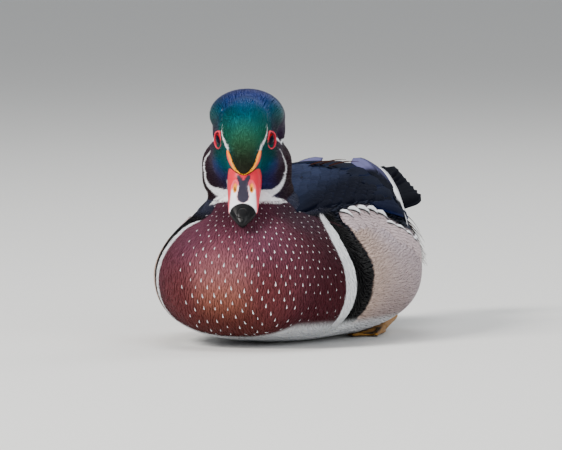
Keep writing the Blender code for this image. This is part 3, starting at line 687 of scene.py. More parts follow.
def oval_ring(middle, across, along, count=96):
    """An oval ring from its middle and its two half axes."""
    turn = np.linspace(0, 2 * math.pi, count, endpoint=False)[:, None]
    return np.array(middle) + np.cos(turn) * np.array(across) + np.sin(turn) * np.array(along)


def melted_rings(forms, middle, rows=96, around=128):
    """Rings of the surface of a group of melted ovals, found outwards from a place inside."""
    polar = np.linspace(0.02, math.pi - 0.02, rows)
    turn = np.linspace(0, 2 * math.pi, around, endpoint=False)
    polar, turn = np.meshgrid(polar, turn, indexing="ij")
    rays = np.stack([np.sin(polar) * np.cos(turn), np.sin(polar) * np.sin(turn), np.cos(polar)], -1)
    inner, outer = np.zeros(rays.shape[:2]), np.full(rays.shape[:2], 70.0)
    for _ in range(26):
        half = (inner + outer) / 2
        inside = form_distance(np.array(middle) + rays * half[..., None], forms) < 0
        inner, outer = np.where(inside, half, inner), np.where(inside, outer, half)
    return np.array(middle) + rays * inner[..., None]


def join_solids(name, solids):
    """One mesh of closed tubes, oriented outwards."""
    points, faces, start = [], [[], []], 0
    for rings in solids:
        p, (quads, triangles) = tube(rings)
        points.append(p)
        faces[0].append(quads + start)
        faces[1].append(triangles + start)
        start += len(p)
    piece = new_piece(name, np.concatenate(points), [np.concatenate(faces[0]), np.concatenate(faces[1])])
    outward(piece)
    return piece


def only(piece):
    """Select one piece and nothing else."""
    bpy.ops.object.select_all(action="DESELECT")
    piece.select_set(True)
    bpy.context.view_layer.objects.active = piece


def use_in_edit_mode(piece, tool, **settings):
    """Use an edit mode tool on the whole of a piece."""
    only(piece)
    bpy.ops.object.mode_set(mode="EDIT")
    bpy.ops.mesh.select_all(action="SELECT")
    tool(**settings)
    bpy.ops.object.mode_set(mode="OBJECT")


def outward(piece):
    """Turn a closed piece's faces outwards."""
    use_in_edit_mode(piece, bpy.ops.mesh.normals_make_consistent, inside=False)


def finish_with(piece, kind, **settings):
    """Add a modifier with its settings and apply it."""
    only(piece)
    modifier = piece.modifiers.new(kind.title(), kind)
    for key, value in settings.items():
        setattr(modifier, key, value)
    bpy.ops.object.modifier_apply(modifier=modifier.name)


class Surface:
    """A surface that feathers grow from and lie on."""

    def __init__(self, mesh):
        self.points, self.triangles = mesh_arrays(mesh)
        triangles = [tuple(t) for t in self.triangles.tolist()]
        self.tree = BVHTree.FromPolygons([Vector(p) for p in self.points], triangles)

    def nearest(self, points):
        """The closest places on the surface and the normals there."""
        found = [self.tree.find_nearest(Vector(p)) for p in points]
        places = np.array([f[0] for f in found])
        return places, np.array([f[1] for f in found])

    def scatter(self, count, chance):
        """Random places, spread by area."""
        a, b, c = (self.points[self.triangles[:, i]] for i in range(3))
        area = np.linalg.norm(np.cross(b - a, c - a), axis=1)
        pick = chance.choice(len(area), count, p=area / area.sum())
        u, v = chance.random((2, count))
        u, v = np.where(u + v > 1, 1 - u, u)[:, None], np.where(u + v > 1, 1 - v, v)[:, None]
        return a[pick] * (1 - u - v) + b[pick] * u + c[pick] * v


def thinned(points, spacing):
    """Which of the places stay when each keeps its own distance from the others."""
    tree = KDTree(len(points))
    for i, p in enumerate(points):
        tree.insert(p, i)
    tree.balance()
    alive = np.ones(len(points), bool)
    keep = []
    for i, p in enumerate(points):
        if alive[i]:
            keep.append(i)
            for _, j, _ in tree.find_range(p, spacing[i]):
                alive[j] = False
    return np.array(keep, int)


def lie_at(points):
    """The way that the plumage lies, before it is laid along the skin."""
    head = to_head(points)
    x, y, z = points.T
    backwards = unit(head - np.array((0, -26, -10))) @ HEAD_TURN.T
    droop = -0.35 - 0.02 * np.clip(head[:, 1], 0, 60)
    crest = unit(np.stack([0 * x, np.full_like(x, 1.0), droop], -1)) @ HEAD_TURN.T
    crest_share = ramp(6, 20, head[:, 1])[:, None] * ramp(-52, -30, head[:, 2])[:, None]
    on_head = unit(backwards * (1 - crest_share) + crest * crest_share)
    from_neck = unit(points - np.array((0, -78, 104)))
    aft = np.stack([0.06 * np.sign(x), np.full_like(x, 1.0), np.where(z < 70, 0.16, -0.04)], -1)
    away = ramp(-92, -40, y)[:, None]
    on_body = unit(from_neck * (1 - away) + aft * away)
    for bar, side in ((LEFT_BAR, 1), (RIGHT_BAR, -1)):
        gap, _, heading = nearest_on_line(points, bar)
        beside = ((1 - ramp(2, 13, gap)) * (x * side > 0))[:, None]
        on_body = unit(on_body * (1 - beside) + heading * beside)
    top = np.interp(y, COLLAR_Y, (86, 86, 90, 96))
    share = (ramp(-8, 8, z - top) * (y < -20))[:, None]
    return unit(on_body * (1 - share) + on_head * share)


def along_skin(heading, normal):
    """A direction laid flat on the surface."""
    return unit(heading - np.sum(heading * normal, axis=1, keepdims=True) * normal)


def laid_paths(surface, roots, lengths, lifts, wander=0.0, chance=None, lie=lie_at):
    """Paths that follow the lie over the surface, raised by each lift in turn, and the normals along them."""
    step = (lengths / (len(lifts) - 1))[:, None]
    place, normal = surface.nearest(roots)
    turn = chance.normal(0, wander, len(roots))[:, None] if wander else 0
    paths, ups = [place + normal * lifts[0]], [normal]
    for lift in lifts[1:]:
        heading = along_skin(lie(place), normal)
        heading = unit(heading + turn * np.cross(normal, heading))
        place, normal = surface.nearest(place + heading * step)
        paths.append(place + normal * lift)
        ups.append(normal)
    return np.stack(paths, 1), np.stack(ups, 1)


# cross sections of a feather: half widths aside, and heights
SLIM = np.array(((-1, 0), (0, 1), (1, 0)), float)
BROAD = np.array(((-1, -0.9), (-0.55, 0.15), (0, 1), (0.55, 0.15), (1, -0.9), (0, -0.35)), float)
# outlines of a rounded feather: its root's width, where it is widest and where its tip begins, how long
# the tip is, and the least that is left of it
CONTOUR = (0.4, 0.45, 0.5, 0.502, 0.004)
QUILL = (0.4, 0.3, 0.72, 0.281, 0.002)
TEAR = (0.12, 0.8, 0.8, 0.201, 0.01)
# the outline of a pointed one
STRAND = ()
# how much of the unwrap each feather takes
PATCH = 0.003
# the lowest that a feather reaches above the floor
FLOOR_GAP = 0.15


def outline_of(kind, t):
    """Share of the half width along a feather, from its root at 0 to its tip at 1."""
    if kind == STRAND:
        return (0.45 + 0.55 * ramp(0, 0.3, t)) * (1 - ramp(0.35, 1, t) * 0.93)
    root, widest, tip, length, least = kind
    rounded = np.sqrt(np.clip(1 - (np.clip(t - tip, 0, 1) / length) ** 2, least, 1))
    return (root + (1 - root) * ramp(0, widest, t)) * rounded


def vane_arrays(paths, ups, halves, crown, kind, form):
    """Points, faces and vane coordinates of closed feathers along paths."""
    count, stations = paths.shape[:2]
    sides = len(form)
    t = np.linspace(0, 1, stations)
    halves = np.broadcast_to(halves, (count,))
    along = unit(np.gradient(paths, axis=1))
    across = unit(np.cross(along, ups))
    ups = np.cross(across, along)
    share = outline_of(kind, t)[None, :, None, None]
    wide = across[:, :, None] * form[:, 0][:, None] * share * halves[:, None, None, None]
    high = ups[:, :, None] * form[:, 1][:, None] * crown * (0.25 + 0.75 * share)
    points = (paths[:, :, None] + wide + high).reshape(-1, 3)
    points[:, 2] = np.maximum(points[:, 2], FLOOR_GAP)
    n, k, m = np.meshgrid(np.arange(count), np.arange(stations - 1), np.arange(sides), indexing="ij")
    base = (n * stations + k) * sides
    after = (m + 1) % sides
    quads = np.stack([base + m, base + after, base + sides + after, base + sides + m], -1).reshape(-1, 4)
    first = (np.arange(count) * stations * sides)[:, None]
    ends = np.concatenate([first + np.arange(sides)[::-1], first + (stations - 1) * sides + np.arange(sides)])
    u = np.broadcast_to(form[:, 0] * 0.5 + 0.5, (count, stations, sides))
    v = np.broadcast_to(t[None, :, None], (count, stations, sides))
    return points, [quads, ends], np.stack([u, v], -1).reshape(-1, 2)


def unwrapped(points):
    """Places from 0 to 1 on an unwrap of the skin's own shape: round the body and along it."""
    round_body = np.arctan2(points[:, 0], points[:, 2] - 50) / (2 * math.pi) + 0.5
    return np.stack([round_body * 0.98 + 0.01, (points[:, 1] + 145) / 365], -1)


def unwrapped_head(points):
    """Places from 0 to 1 on an unwrap of the head's own shape: round it and from front to back."""
    q = to_head(points) - np.array((0, 8, -10))
    turn = np.arctan2(q[:, 0], q[:, 2]) / (2 * math.pi) + 0.5
    polar = np.arctan2(np.hypot(q[:, 0], q[:, 2]), -q[:, 1]) / math.pi
    return np.stack([turn * 0.98 + 0.01, polar * 0.98 + 0.01], -1)


def feather_piece(name, paths, ups, halves, crown, kind, tint, form=SLIM, unwrap=unwrapped, tones=None):
    """A piece of many feathers, coloured by tint(points, vane) and by a tone of each one's own."""
    points, faces, vane = vane_arrays(paths, ups, halves, crown, kind, form)
    each = len(points) // len(paths)
    value = tint(points, vane)
    if tones is not None:
        value[:, :3] *= np.repeat(tones, each)[:, None]
    root = np.repeat(unwrap(paths[:, 0]), each, axis=0)
    return new_piece(name, points, faces, {"vane": vane, "OFBake": root + (vane - 0.5) * PATCH}, value)


def dress(piece, slot, material, *replaced):
    """Give a piece its material, and say what it rides on and stands for."""
    piece.data.materials.clear()
    piece.data.materials.append(material)
    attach(piece, "root")
    if replaced:
        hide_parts(*replaced)
    return piece


# Materials


class Value:
    """A shader socket that takes part in sums."""

    def __init__(self, finish, socket):
        self.finish = finish
        self.socket = socket

    def __add__(self, other):
        return self.finish.maths("ADD", self, other)

    def __mul__(self, other):
        return self.finish.maths("MULTIPLY", self, other)

    def __sub__(self, other):
        return self.finish.maths("SUBTRACT", self, other)

    def __rsub__(self, other):
        return self.finish.maths("SUBTRACT", other, self)

    __radd__ = __add__
    __rmul__ = __mul__

    def held(self):
        """The value between 0 and 1."""
        return self.finish.node("ShaderNodeClamp", {}, self)


class Finish:
    """A material made of nodes."""

    def __init__(self, name, **constants):
        self.material = bpy.data.materials.new(name)
        self.material.use_nodes = True
        self.tree = self.material.node_tree
        self.shader = self.tree.nodes["Principled BSDF"]
        for socket, value in constants.items():
            self.shader.inputs[socket.replace("_", " ")].default_value = value

    def node(self, kind, settings, *inputs, output=0, **named):
        """Add a node: its settings first, then the values or links of its sockets."""
        made = self.tree.nodes.new(kind)
        for key, value in settings.items():
            setattr(made, key, value)
        for socket, value in (*enumerate(inputs), *named.items()):
            if isinstance(value, Value):
                self.tree.links.new(value.socket, made.inputs[socket])
            elif value is not None:
                made.inputs[socket].default_value = value
        return Value(self, made.outputs[output])

    def maths(self, operation, *inputs):
        return self.node("ShaderNodeMath", {"operation": operation}, *inputs)

    def spread(self, value, low, high, at_low, at_high):
        """A value led from one range to another, and held inside it."""
        return self.node("ShaderNodeMapRange", {}, value, low, high, at_low, at_high)

    def feed(self, socket, value):
        """Link a value to the shader."""
        self.tree.links.new(value.socket, self.shader.inputs[socket])

    def attribute(self, name, output="Color"):
        return self.node("ShaderNodeAttribute", {"attribute_name": name}, output=output)

    def map_part(self, name, axis):
        """One coordinate of a UV map."""
        place = self.node("ShaderNodeUVMap", {"uv_map": name})
        return self.node("ShaderNodeSeparateXYZ", {}, place, output=axis)

    def object_place(self):
        return self.node("ShaderNodeTexCoord", {}, output="Object")

    def noise(self, place, scale, detail):
        return self.node("ShaderNodeTexNoise", {}, Vector=place, Scale=scale, Detail=detail)

    def mix(self, share, first, second):
        """A colour between two, which are the node's sockets 6 and 7."""
        others = [None] * 5
        return self.node("ShaderNodeMix", {"data_type": "RGBA"}, share, *others, first, second, output=2)

    def scaled(self, tone, factor):
        """A colour made lighter or darker."""
        return self.node("ShaderNodeVectorMath", {"operation": "SCALE"}, tone, Scale=factor)

    def bump(self, height, strength, distance):
        made = self.node("ShaderNodeBump", {}, Strength=strength, Distance=distance, Height=height)
        self.feed("Normal", made)


def barbs(finish, count, slant=0.35):
    """Fine slanting lines on each vane, from its shaft to its edges."""
    u, v = finish.map_part("vane", 0), finish.map_part("vane", 1)
    aside = finish.maths("ABSOLUTE", u - 0.5)
    wave = finish.maths("SINE", (v - aside * slant) * (count * 2 * math.pi))
    return wave * 0.5 + 0.5, aside, v


def plumage(name, shine, count, rough, bump, specular, glow=(1, 1, 1), marks=0.0):
    """Feathers in the colours of their vertices, with barbs, a shaft, and fine wavy marks if asked."""
    finish = Finish(name, Specular_IOR_Level=specular, Specular_Tint=(*glow, 1))
    tint = finish.attribute("tint")
    gloss = finish.attribute("tint", "Alpha")
    lines, aside, v = barbs(finish, count)
    place = finish.object_place()
    cloud = finish.noise(place, 160.0, 3.0)
    grain = finish.noise(place, 900.0, 2.0)
    shade = 0.84 + 0.12 * lines + 0.16 * cloud + 0.1 * grain
    shaft = 1 - finish.maths("SMOOTH_MIN", aside * 18, 1.0, 0.2)
    tone = finish.scaled(tint, shade - 0.12 * shaft)
    if marks:
        ripple = finish.noise(place, 260.0, 2.0)
        wavy = finish.maths("SINE", (v * 8.0 + ripple * 2.2 + aside * 0.8) * (2 * math.pi))
        band = finish.spread(wavy, 0.1, 0.8, 0.0, 1.0)
        pale = finish.spread(gloss, 0.02, 0.1, 1.0, 0.0)
        tone = finish.mix(band * pale * marks, tone, (0.08, 0.06, 0.055, 1))
    finish.feed("Base Color", tone)
    finish.feed("Metallic", gloss * shine)
    finish.feed("Roughness", (rough + 0.12 * grain - 0.16 * gloss).held())
    finish.bump(lines * 0.5 + cloud, bump, 0.0004)
    return finish.material


def between(starts, ends, stations):
    """Rows of places in even steps from starts to ends."""
    t = np.linspace(0, 1, stations)[None, :, None]
    return np.array(starts, float)[:, None] * (1 - t) + np.array(ends, float)[:, None] * t


def free_paths(roots, tips, ups, arch, stations):
    """Paths from roots to tips with an arch of a given height, and their upward directions."""
    t = np.linspace(0, 1, stations)
    ups = np.repeat(unit(np.array(ups, float))[:, None], stations, axis=1)
    return between(roots, tips, stations) + ups * (arch * 4 * (t * (1 - t)))[None, :, None], ups


def shell_paths(starts, ends, lifts, stations, side):
    """Paths on the folded wing from (y, degrees from the top) to (y, degrees), raised between two heights."""
    at = between(starts, ends, stations)
    y, angle = at[..., 0], np.radians(at[..., 1]) * side
    normal = surface_normals(shell_points, y, angle)
    low, high = (np.broadcast_to(value, (len(starts),)) for value in lifts)
    height = low[:, None] + (high - low)[:, None] * np.linspace(0, 1, stations)
    return shell_points(y, angle) + normal * height[..., None], normal


def eye_axes(side):
    """An eye's middle, the way it looks, and the directions across and up it, in the head's frame."""
    forward = math.radians(EYE_FORWARD)
    axis = unit(np.array((side * math.cos(forward), -math.sin(forward), 0.06)))
    across = unit(np.cross(axis, (0, 0, 1)))
    return np.array((side * EYE_SPREAD, -0.5, 0.0)), axis, across, np.cross(across, axis)


def off_eyes(places, margin):
    """Which places in the head's frame are clear of both eyes."""
    clear = np.ones(len(places), bool)
    for side in (-1, 1):
        middle, axis, _, _ = eye_axes(side)
        rel = places - middle
        out = rel @ axis
        clear &= ~((np.linalg.norm(rel - out[:, None] * axis, axis=1) < margin) & (out > 0))
    return clear


# y and half width of the wedge of feathers on the forehead, in the head's frame
WEDGE = ((-28.5, 0), (-27.5, 1.2), (-26.2, 3.3), (-21.8, 6.7), (-17, 8.3), (-14.7, 9.2), (-12, 10.5))


def off_bill(places):
    """Which places in the head's frame are feathered and not bill."""
    x, y, z = on_left(places).T
    in_wedge = x < along_table(WEDGE, y)
    behind = y > -14.4 - np.clip(1.2 - z, 0, 12) * 0.21
    return np.where(z > -21, (in_wedge & (z > -7)) | behind, y > -19)


# Sizes and colours that the panel shows, in Blender's own units


class DuckSizes(bpy.types.PropertyGroup):
    """Sizes of the coat."""

    coat_depth: FloatProperty(
        name="Coat Depth", description="From skin to feather tips on the body", default=0.0012,
        subtype="DISTANCE", unit="LENGTH",
    )
    skin_voxel: FloatProperty(
        name="Skin Grain", description="Size of the skin's faces", default=0.0016,
        subtype="DISTANCE", unit="LENGTH",
    )
    face_spacing: FloatProperty(
        name="Face Spacing", description="Between feather roots on the face", default=0.00066,
        subtype="DISTANCE", unit="LENGTH",
    )
    breast_spacing: FloatProperty(
        name="Breast Spacing", description="Between feather roots on the breast", default=0.00132,
        subtype="DISTANCE", unit="LENGTH",
    )
    back_spacing: FloatProperty(
        name="Back Spacing", description="Between feather roots on flanks and back", default=0.0017,
        subtype="DISTANCE", unit="LENGTH",
    )
    seed: IntProperty(name="Seed", description="Start of the random draws", default=7)


class DuckColours(bpy.types.PropertyGroup):
    """Colours of the bare parts and the floor."""

    iris: FloatVectorProperty(
        name="Iris", description="Colour of the iris", default=(0.3, 0.006, 0.008), subtype="COLOR",
    )
    lid: FloatVectorProperty(
        name="Lid", description="Colour of the eye's ring", default=(0.78, 0.03, 0.075), subtype="COLOR",
    )
    floor: FloatVectorProperty(
        name="Floor", description="Colour of the floor", default=(0.78, 0.78, 0.76), subtype="COLOR",
    )


# Plumage

# about the skin's area, and how many random places are tried for each root that fits
SKIN_AREA = 130000.0
TRIES_FOR_EACH = 2.4
# from skin to feather tips on the head
HEAD_COAT_DEPTH = 0.55
# how far feathers stay from the middle of an eye
EYE_MARGIN = 5.8
# cheeks end and the crown begins at this height, in the head's frame
CHEEK_TOP = -2
CREST_SPACING = 0.88
# the flank feathers that are edged with black and white
EDGED_SPACING = 11.5
EDGED_LENGTH = 18.0
EDGED_HALF = 8.4
# how far the outer primaries are turned about their quills
PRIMARY_TILT = math.radians(38)


def sizes():
    """The coat's sizes."""
    return bpy.context.scene.duck_sizes


def drawn(name):
    """Random draws of a tract's own, the same each run."""
    return np.random.default_rng(sizes().seed * 1000 + sum(map(ord, name)))


def graded(axis, at, values, times=1.0, places_of=np.asarray):
    """A size by place along an axis of the bird's frame, or of the one that places_of gives."""
    return lambda points: np.interp(places_of(points)[:, axis], at, values) * times


def by_place(size, points):
    """A size at each point, from a number or from a function of place."""
    return size(points) if callable(size) else np.full(len(points), float(size))


def skin_tint(points, vane):
    """The bird's markings on small feathers, with the painted highlights of breast, mantle and back."""
    return tint_at(points)


def in_front(points):
    """Which places the breast's feathers may grow from."""
    return (points[:, 1] < np.where(points[:, 0] > 0, -52, -66)) & (points[:, 2] < 92)


def coat(
    name, slot, material, zone, spacing, length, half, lifts, crown, tone, wander=0.16, unwrap=unwrapped
):
    """Small feathers over a zone of the skin, with spacing, length and half width by place."""
    surface = skin_surface()
    chance = drawn(name)
    tries = int(SKIN_AREA / (1.0 if callable(spacing) else spacing) ** 2 * TRIES_FOR_EACH)
    points = surface.scatter(tries, chance)
    points = points[zone(points)]
    roots = points[thinned(points, by_place(spacing, points))]
    count = len(roots)
    long = by_place(length, roots) * chance.uniform(0.85, 1.15, count)
    wide = by_place(half, roots) * chance.uniform(0.85, 1.15, count)
    paths, ups = laid_paths(surface, roots, long, lifts, wander, chance)
    tones = np.clip(chance.normal(1, tone, count), 0.6, 1.4)
    piece = feather_piece(name, paths, ups, wide, crown, STRAND, skin_tint, SLIM, unwrap, tones)
    return dress(piece, slot, material)


class DuckOperator:
    """What the duck's operators share."""

    bl_options = {"REGISTER", "UNDO"}


class DUCK_OT_skin(DuckOperator, bpy.types.Operator):
    """One skin under the plumage of head, body, wings and tail."""

    bl_idname = "duck.skin"
    bl_label = "Skin"

    def execute(self, context):
        neck = [oval_ring((x, y, z), (wide, 0, 0), (0, deep, 0)) for z, x, y, wide, deep in NECK_RINGS]
        top = oval_ring((2, -84, 122), (9, 0, 0), (0, 9, 0))
        bottom = oval_ring((0, -76, 60), (34, 0, 0), (0, 34, 0))
        neck = np.stack([bottom, *neck, top])
        tail = [oval_ring((0, y, z), (wide, 0, 0), (0, 0, high)) for y, z, wide, high in TAIL_BASE]
        head = from_head(melted_rings(HEAD_FORMS, (0, 8, -8)))
        crest = from_head(melted_rings(CREST_FORMS, (0, 28, -8)))
        skin = join_solids("skin", [torso_rings(), neck, head, crest, np.stack(tail)])
        finish_with(skin, "REMESH", mode="VOXEL", voxel_size=sizes().skin_voxel, use_smooth_shade=True)
        finish_with(skin, "SMOOTH", factor=0.5, iterations=3)
        points, _ = mesh_arrays(skin.data)
        normals = vertex_normals(skin.data)
        head = head_share(points)
        depth = sizes().coat_depth / MM * (1 - head) + HEAD_COAT_DEPTH * head
        points = points - normals * depth[:, None]
        skin.data.vertices.foreach_set("co", (points * MM).astype(np.float32).ravel())
        skin.data.update()
        paint(skin.data, tint_at(points + normals * 0.5))
        layer = skin.data.uv_layers.new(name="OFBake")
        corners = np.zeros(len(skin.data.loops), np.int32)
        skin.data.loops.foreach_get("vertex_index", corners)
        layer.data.foreach_set("uv", unwrapped(points)[corners].astype(np.float32).ravel())
        finish = Finish("duck_skin", Specular_IOR_Level=0.03)
        cloud = finish.noise(finish.object_place(), 500.0, 3.0)
        finish.feed("Base Color", finish.scaled(finish.attribute("tint"), 0.75 + 0.4 * cloud))
        finish.feed("Roughness", 0.6 + 0.2 * cloud)
        finish.bump(cloud, 0.4, 0.0004)
        nodes = ("torso", "neck", "head", "crest", "wing_left", "wing_right", "tail")
        dress(skin, "plumage", finish.material, *nodes)
        return {"FINISHED"}


def under_crest(places):
    """Where the crest's long feathers take over from the crown's, in the head's frame."""
    return places[:, 1] > 12 + 0.25 * np.clip(-places[:, 2], 0, 60)


class DUCK_OT_face(DuckOperator, bpy.types.Operator):
    """Short glossy feathers of forehead, crown, cheeks and throat."""

    bl_idname = "duck.face"
    bl_label = "Face Feathers"

    def execute(self, context):
        gloss = plumage("head_feathers", shine=0.7, count=6, rough=0.46, bump=0.12, specular=0.05)
        long = graded(1, (-26, -14, 0, 16), (1.4, 2.0, 3.0, 4.2), 1.0, to_head)
        wide = graded(1, (-26, -14, 10), (0.22, 0.28, 0.36), 1.0, to_head)
        gap = graded(1, (-26, -12, 10), (0.75, 0.9, 1.1), sizes().face_spacing / MM, to_head)
        lifts = (-0.15, 0.22, 0.4, 0.48)
        for name, is_crown in (("crown_feathers", True), ("cheek_feathers", False)):

            def zone(points, is_crown=is_crown):
                places = to_head(points)
                bare = ~off_eyes(places, EYE_MARGIN) | ~off_bill(places) | under_crest(places)
                return (head_share(points) > 0.5) & ~bare & ((places[:, 2] >= CHEEK_TOP) == is_crown)

            coat(name, "head_plumage", gloss, zone, gap, long, wide, lifts, 0.08, 0.03, 0.07, unwrapped_head)
        return {"FINISHED"}


class DUCK_OT_crest(DuckOperator, bpy.types.Operator):
    """Long silky feathers of the crest, swept back and down the nape."""

    bl_idname = "duck.crest"
    bl_label = "Crest"

    def execute(self, context):
        gloss = plumage("crest_feathers", shine=0.7, count=14, rough=0.44, bump=0.12, specular=0.05)
        name, slot = "crest_feathers", "head_plumage"
        long = graded(1, (12, 26, 44), (9, 15, 12), 1.0, to_head)
        lifts = (-0.2, 0.25, 0.4, 0.45, 0.45, 0.4)

        def zone(points):
            return (head_share(points) > 0.5) & under_crest(to_head(points))

        def gap(points):
            return np.full(len(points), CREST_SPACING)

        coat(name, slot, gloss, zone, gap, long, 0.42, lifts, 0.08, 0.04, 0.05, unwrapped_head)
        return {"FINISHED"}


def fleck_roots(surface):
    """Places of the breast's flecks, in rows that spread from the collar, every other one set between two."""
    turn = np.radians(np.linspace(-84, 84, 64))
    place = np.stack([3 + 24 * np.sin(turn), -77 - 24 * np.cos(turn), np.full_like(turn, 88)], -1)
    place, normal = surface.nearest(place)
    rows = []
    for k in range(52):
        if k % 2 == 0:
            rows.append(place[(k // 2) % 2 :: 2])
        place, normal = surface.nearest(place + along_skin(lie_at(place), normal) * 2.4)
    roots = np.concatenate(rows)
    roots = roots[is_breast(roots) > 0.9]
    return roots[(roots[:, 2] > 2) & (roots[:, 2] < 89)]


def from_collar(points):
    """How far places on the breast are from the middle of the collar."""
    return np.linalg.norm(points - np.array((3, -100, 88)), axis=1)


class DUCK_OT_breast(DuckOperator, bpy.types.Operator):
    """Maroon breast feathers with white flecks, and the white and black bars beside them."""

    bl_idname = "duck.breast"
    bl_label = "Breast Feathers"

    def execute(self, context):
        soft = plumage("breast_feathers", shine=0.3, count=12, rough=0.5, bump=0.1, specular=0.04)
        heights = (20, 70, 90)
        long = graded(2, heights, (6, 4.8, 3.4))
        wide = graded(2, heights, (0.64, 0.54, 0.4))
        spacing = graded(2, heights, (0.95, 0.84, 0.6), sizes().breast_spacing / MM)
        lifts = (-0.25, 0.4, 0.58, 0.62)
        for side, word in SIDES:

            def zone(points, side=side):
                return (head_share(points) <= 0.5) & in_front(points) & (points[:, 0] * side > 0)

            coat(f"breast_{word}_feathers", "plumage", soft, zone, spacing, long, wide, lifts, 0.05, 0.04)
        surface = skin_surface()
        chance = drawn("flecks")
        roots = fleck_roots(surface)
        roots = roots[thinned(roots, np.interp(from_collar(roots), (4, 30, 80), (2.8, 4.2, 5.8)))]
        far = from_collar(roots)
        roots = roots + chance.normal(0, 0.35, roots.shape)
        aside = np.abs(np.degrees(np.arctan2(roots[:, 0], -(roots[:, 1] + 70))))
        size = np.interp(aside, (34, 52), (1, 0.55)) * chance.uniform(0.7, 1.15, len(roots))
        long = np.interp(far, (4, 30, 60), (1.0, 1.8, 2.7)) * size
        wide = np.interp(far, (4, 30, 60), (0.24, 0.36, 0.46)) * size
        paths, ups = laid_paths(surface, roots, long, (0.7, 0.95, 1.05, 1.05, 0.9), 0.1, chance)

        def white(points, vane):
            return all_over(with_gloss(WHITE * 0.95), points)

        flecks = feather_piece("breast_flecks", paths, ups, wide, 0.15, TEAR, white)
        dress(flecks, "plumage", soft)
        return {"FINISHED"}


def long_feathers(name, slot, material, paths, ups, halves, kind, tint, crown, tones=None, form=BROAD):
    """A piece of large single feathers."""
    piece = feather_piece(name, paths, ups, halves, crown, kind, tint, form, unwrapped, tones)
    return dress(piece, slot, material)


class DUCK_OT_flanks(DuckOperator, bpy.types.Operator):
    """Pale finely waved flank feathers, the uppermost of them edged with black and white."""

    bl_idname = "duck.flanks"
    bl_label = "Flank Feathers"

    def execute(self, context):
        waved = plumage("flank_feathers", shine=0.1, count=16, rough=0.6, bump=0.06, specular=0.05, marks=0.6)
        gap = sizes().back_spacing / MM
        lifts = (-0.25, 0.4, 0.56, 0.6)

        def zone(points):
            behind = points[:, 1] > np.where(points[:, 0] > 0, -56, -72)
            return behind & (flank_share(points) > 0.3)

        coat("flank_feathers", "plumage", waved, zone, gap, 7, 0.9, lifts, 0.05, 0.03)
        surface = skin_surface()
        paths, ups = [], []
        rows = np.array(FLANK_TOP, float)
        along = np.concatenate([[0], np.cumsum(np.linalg.norm(np.diff(rows, axis=0), axis=1))])
        heights = 0.25 + 1.6 * np.linspace(1, 0, 32) ** 0.8
        for side, first in ((-1, -18), (1, 6.5)):
            downwards = -unit(np.array((-0.15 * side, 0.35, 0.93)))

            def lie(points, downwards=downwards):
                return all_over(downwards, points)

            for at in np.arange(first, along[-1] - 4, EDGED_SPACING):
                tip = np.array([np.interp(at, along, rows[:, c]) for c in range(3)])
                tip += (0, min(at, 0), 0.2)
                tip, _ = surface.nearest((tip * (side, 1, 1))[None])
                path, up = laid_paths(surface, tip, np.array([EDGED_LENGTH]), heights, lie=lie)
                paths.append(path[0, ::-1])
                ups.append(up[0, ::-1])
        grey, black = with_gloss(colour(206, 190, 192), 0.02), with_gloss(colour(8, 8, 12), 0.2)
        white = with_gloss(WHITE, 0.12)

        def crescent(points, vane):
            v = vane[:, 1] + 0.04 * (2 * vane[:, 0] - 1) ** 2
            tone = mixed(all_over(grey, points), black, ramp(0.775, 0.79, v))
            return mixed(tone, white, ramp(0.86, 0.875, v))

        paths, ups = np.array(paths), np.array(ups)
        long_feathers("flank_crescents", "plumage", waved, paths, ups, EDGED_HALF, QUILL, crescent, 0.5)
        return {"FINISHED"}


class DUCK_OT_back(DuckOperator, bpy.types.Operator):
    """Dark glossy mantle, back and rump feathers, and the white belly."""

    bl_idname = "duck.back"
    bl_label = "Back and Belly Feathers"

    def execute(self, context):
        blue = (0.5, 0.62, 1.0)
        dark = plumage("mantle_feathers", shine=0.3, count=14, rough=0.5, bump=0.1, specular=0.025, glow=blue)
        gap = sizes().back_spacing / MM
        lifts = (-0.25, 0.4, 0.6, 0.66)

        def rest(points):
            taken = in_front(points) | (head_share(points) > 0.5)
            return ~taken & (flank_share(points) <= 0.3)

        def above(points):
            return rest(points) & (points[:, 2] > 40)

        def below(points):
            return rest(points) & (points[:, 2] <= 40)

        coat("mantle_feathers", "plumage", dark, above, gap, 7.5, 0.9, lifts, 0.08, 0.08)
        coat("belly_feathers", "plumage", dark, below, gap * 1.15, 8, 1.1, lifts, 0.08, 0.04)
        return {"FINISHED"}


def wing_tint(base, edge, gloss, edge_from=0.82, top=None):
    """Colours of a long feather, with a paler edge, and a painted highlight along the top of the back if
    asked.
    """
    base, edge = with_gloss(colour(*base), gloss), with_gloss(colour(*edge), gloss)

    def tint(points, vane):
        aside = np.abs(2 * vane[:, 0] - 1)
        rim = np.maximum(ramp(edge_from, 1.0, aside), ramp(0.9, 1.0, vane[:, 1]))
        tone = mixed(all_over(base, points), edge, rim * 0.8)
        if top is None:
            return tone
        # painted highlight: a paler blue-grey tone where the feathers lie along the top of the back, lit from
        # above
        return mixed(tone, with_gloss(colour(*top), gloss), 0.7 * (1 - ramp(18, 36, np.abs(points[:, 0]))))

    return tint


def primary_tint(side):
    """Colours of the outer primaries: dark, silvery towards the tip, and white on the outermost one's web."""

    def tint(points, vane):
        outwards = vane[:, 0] if side > 0 else 1 - vane[:, 0]
        outermost = np.repeat(np.arange(6) == 0, len(points) // 6)
        bare = np.interp(vane[:, 1], (0.15, 0.6), (0.66, 0.14))
        tone = all_over(with_gloss(colour(16, 20, 30), 0.3), points)
        tone = mixed(tone, with_gloss(colour(112, 112, 146), 0.08), ramp(0.5, 0.66, vane[:, 1]))
        return mixed(tone, WHITE_FEATHER, ramp(-0.03, 0.03, outwards - bare) * outermost)

    return tint


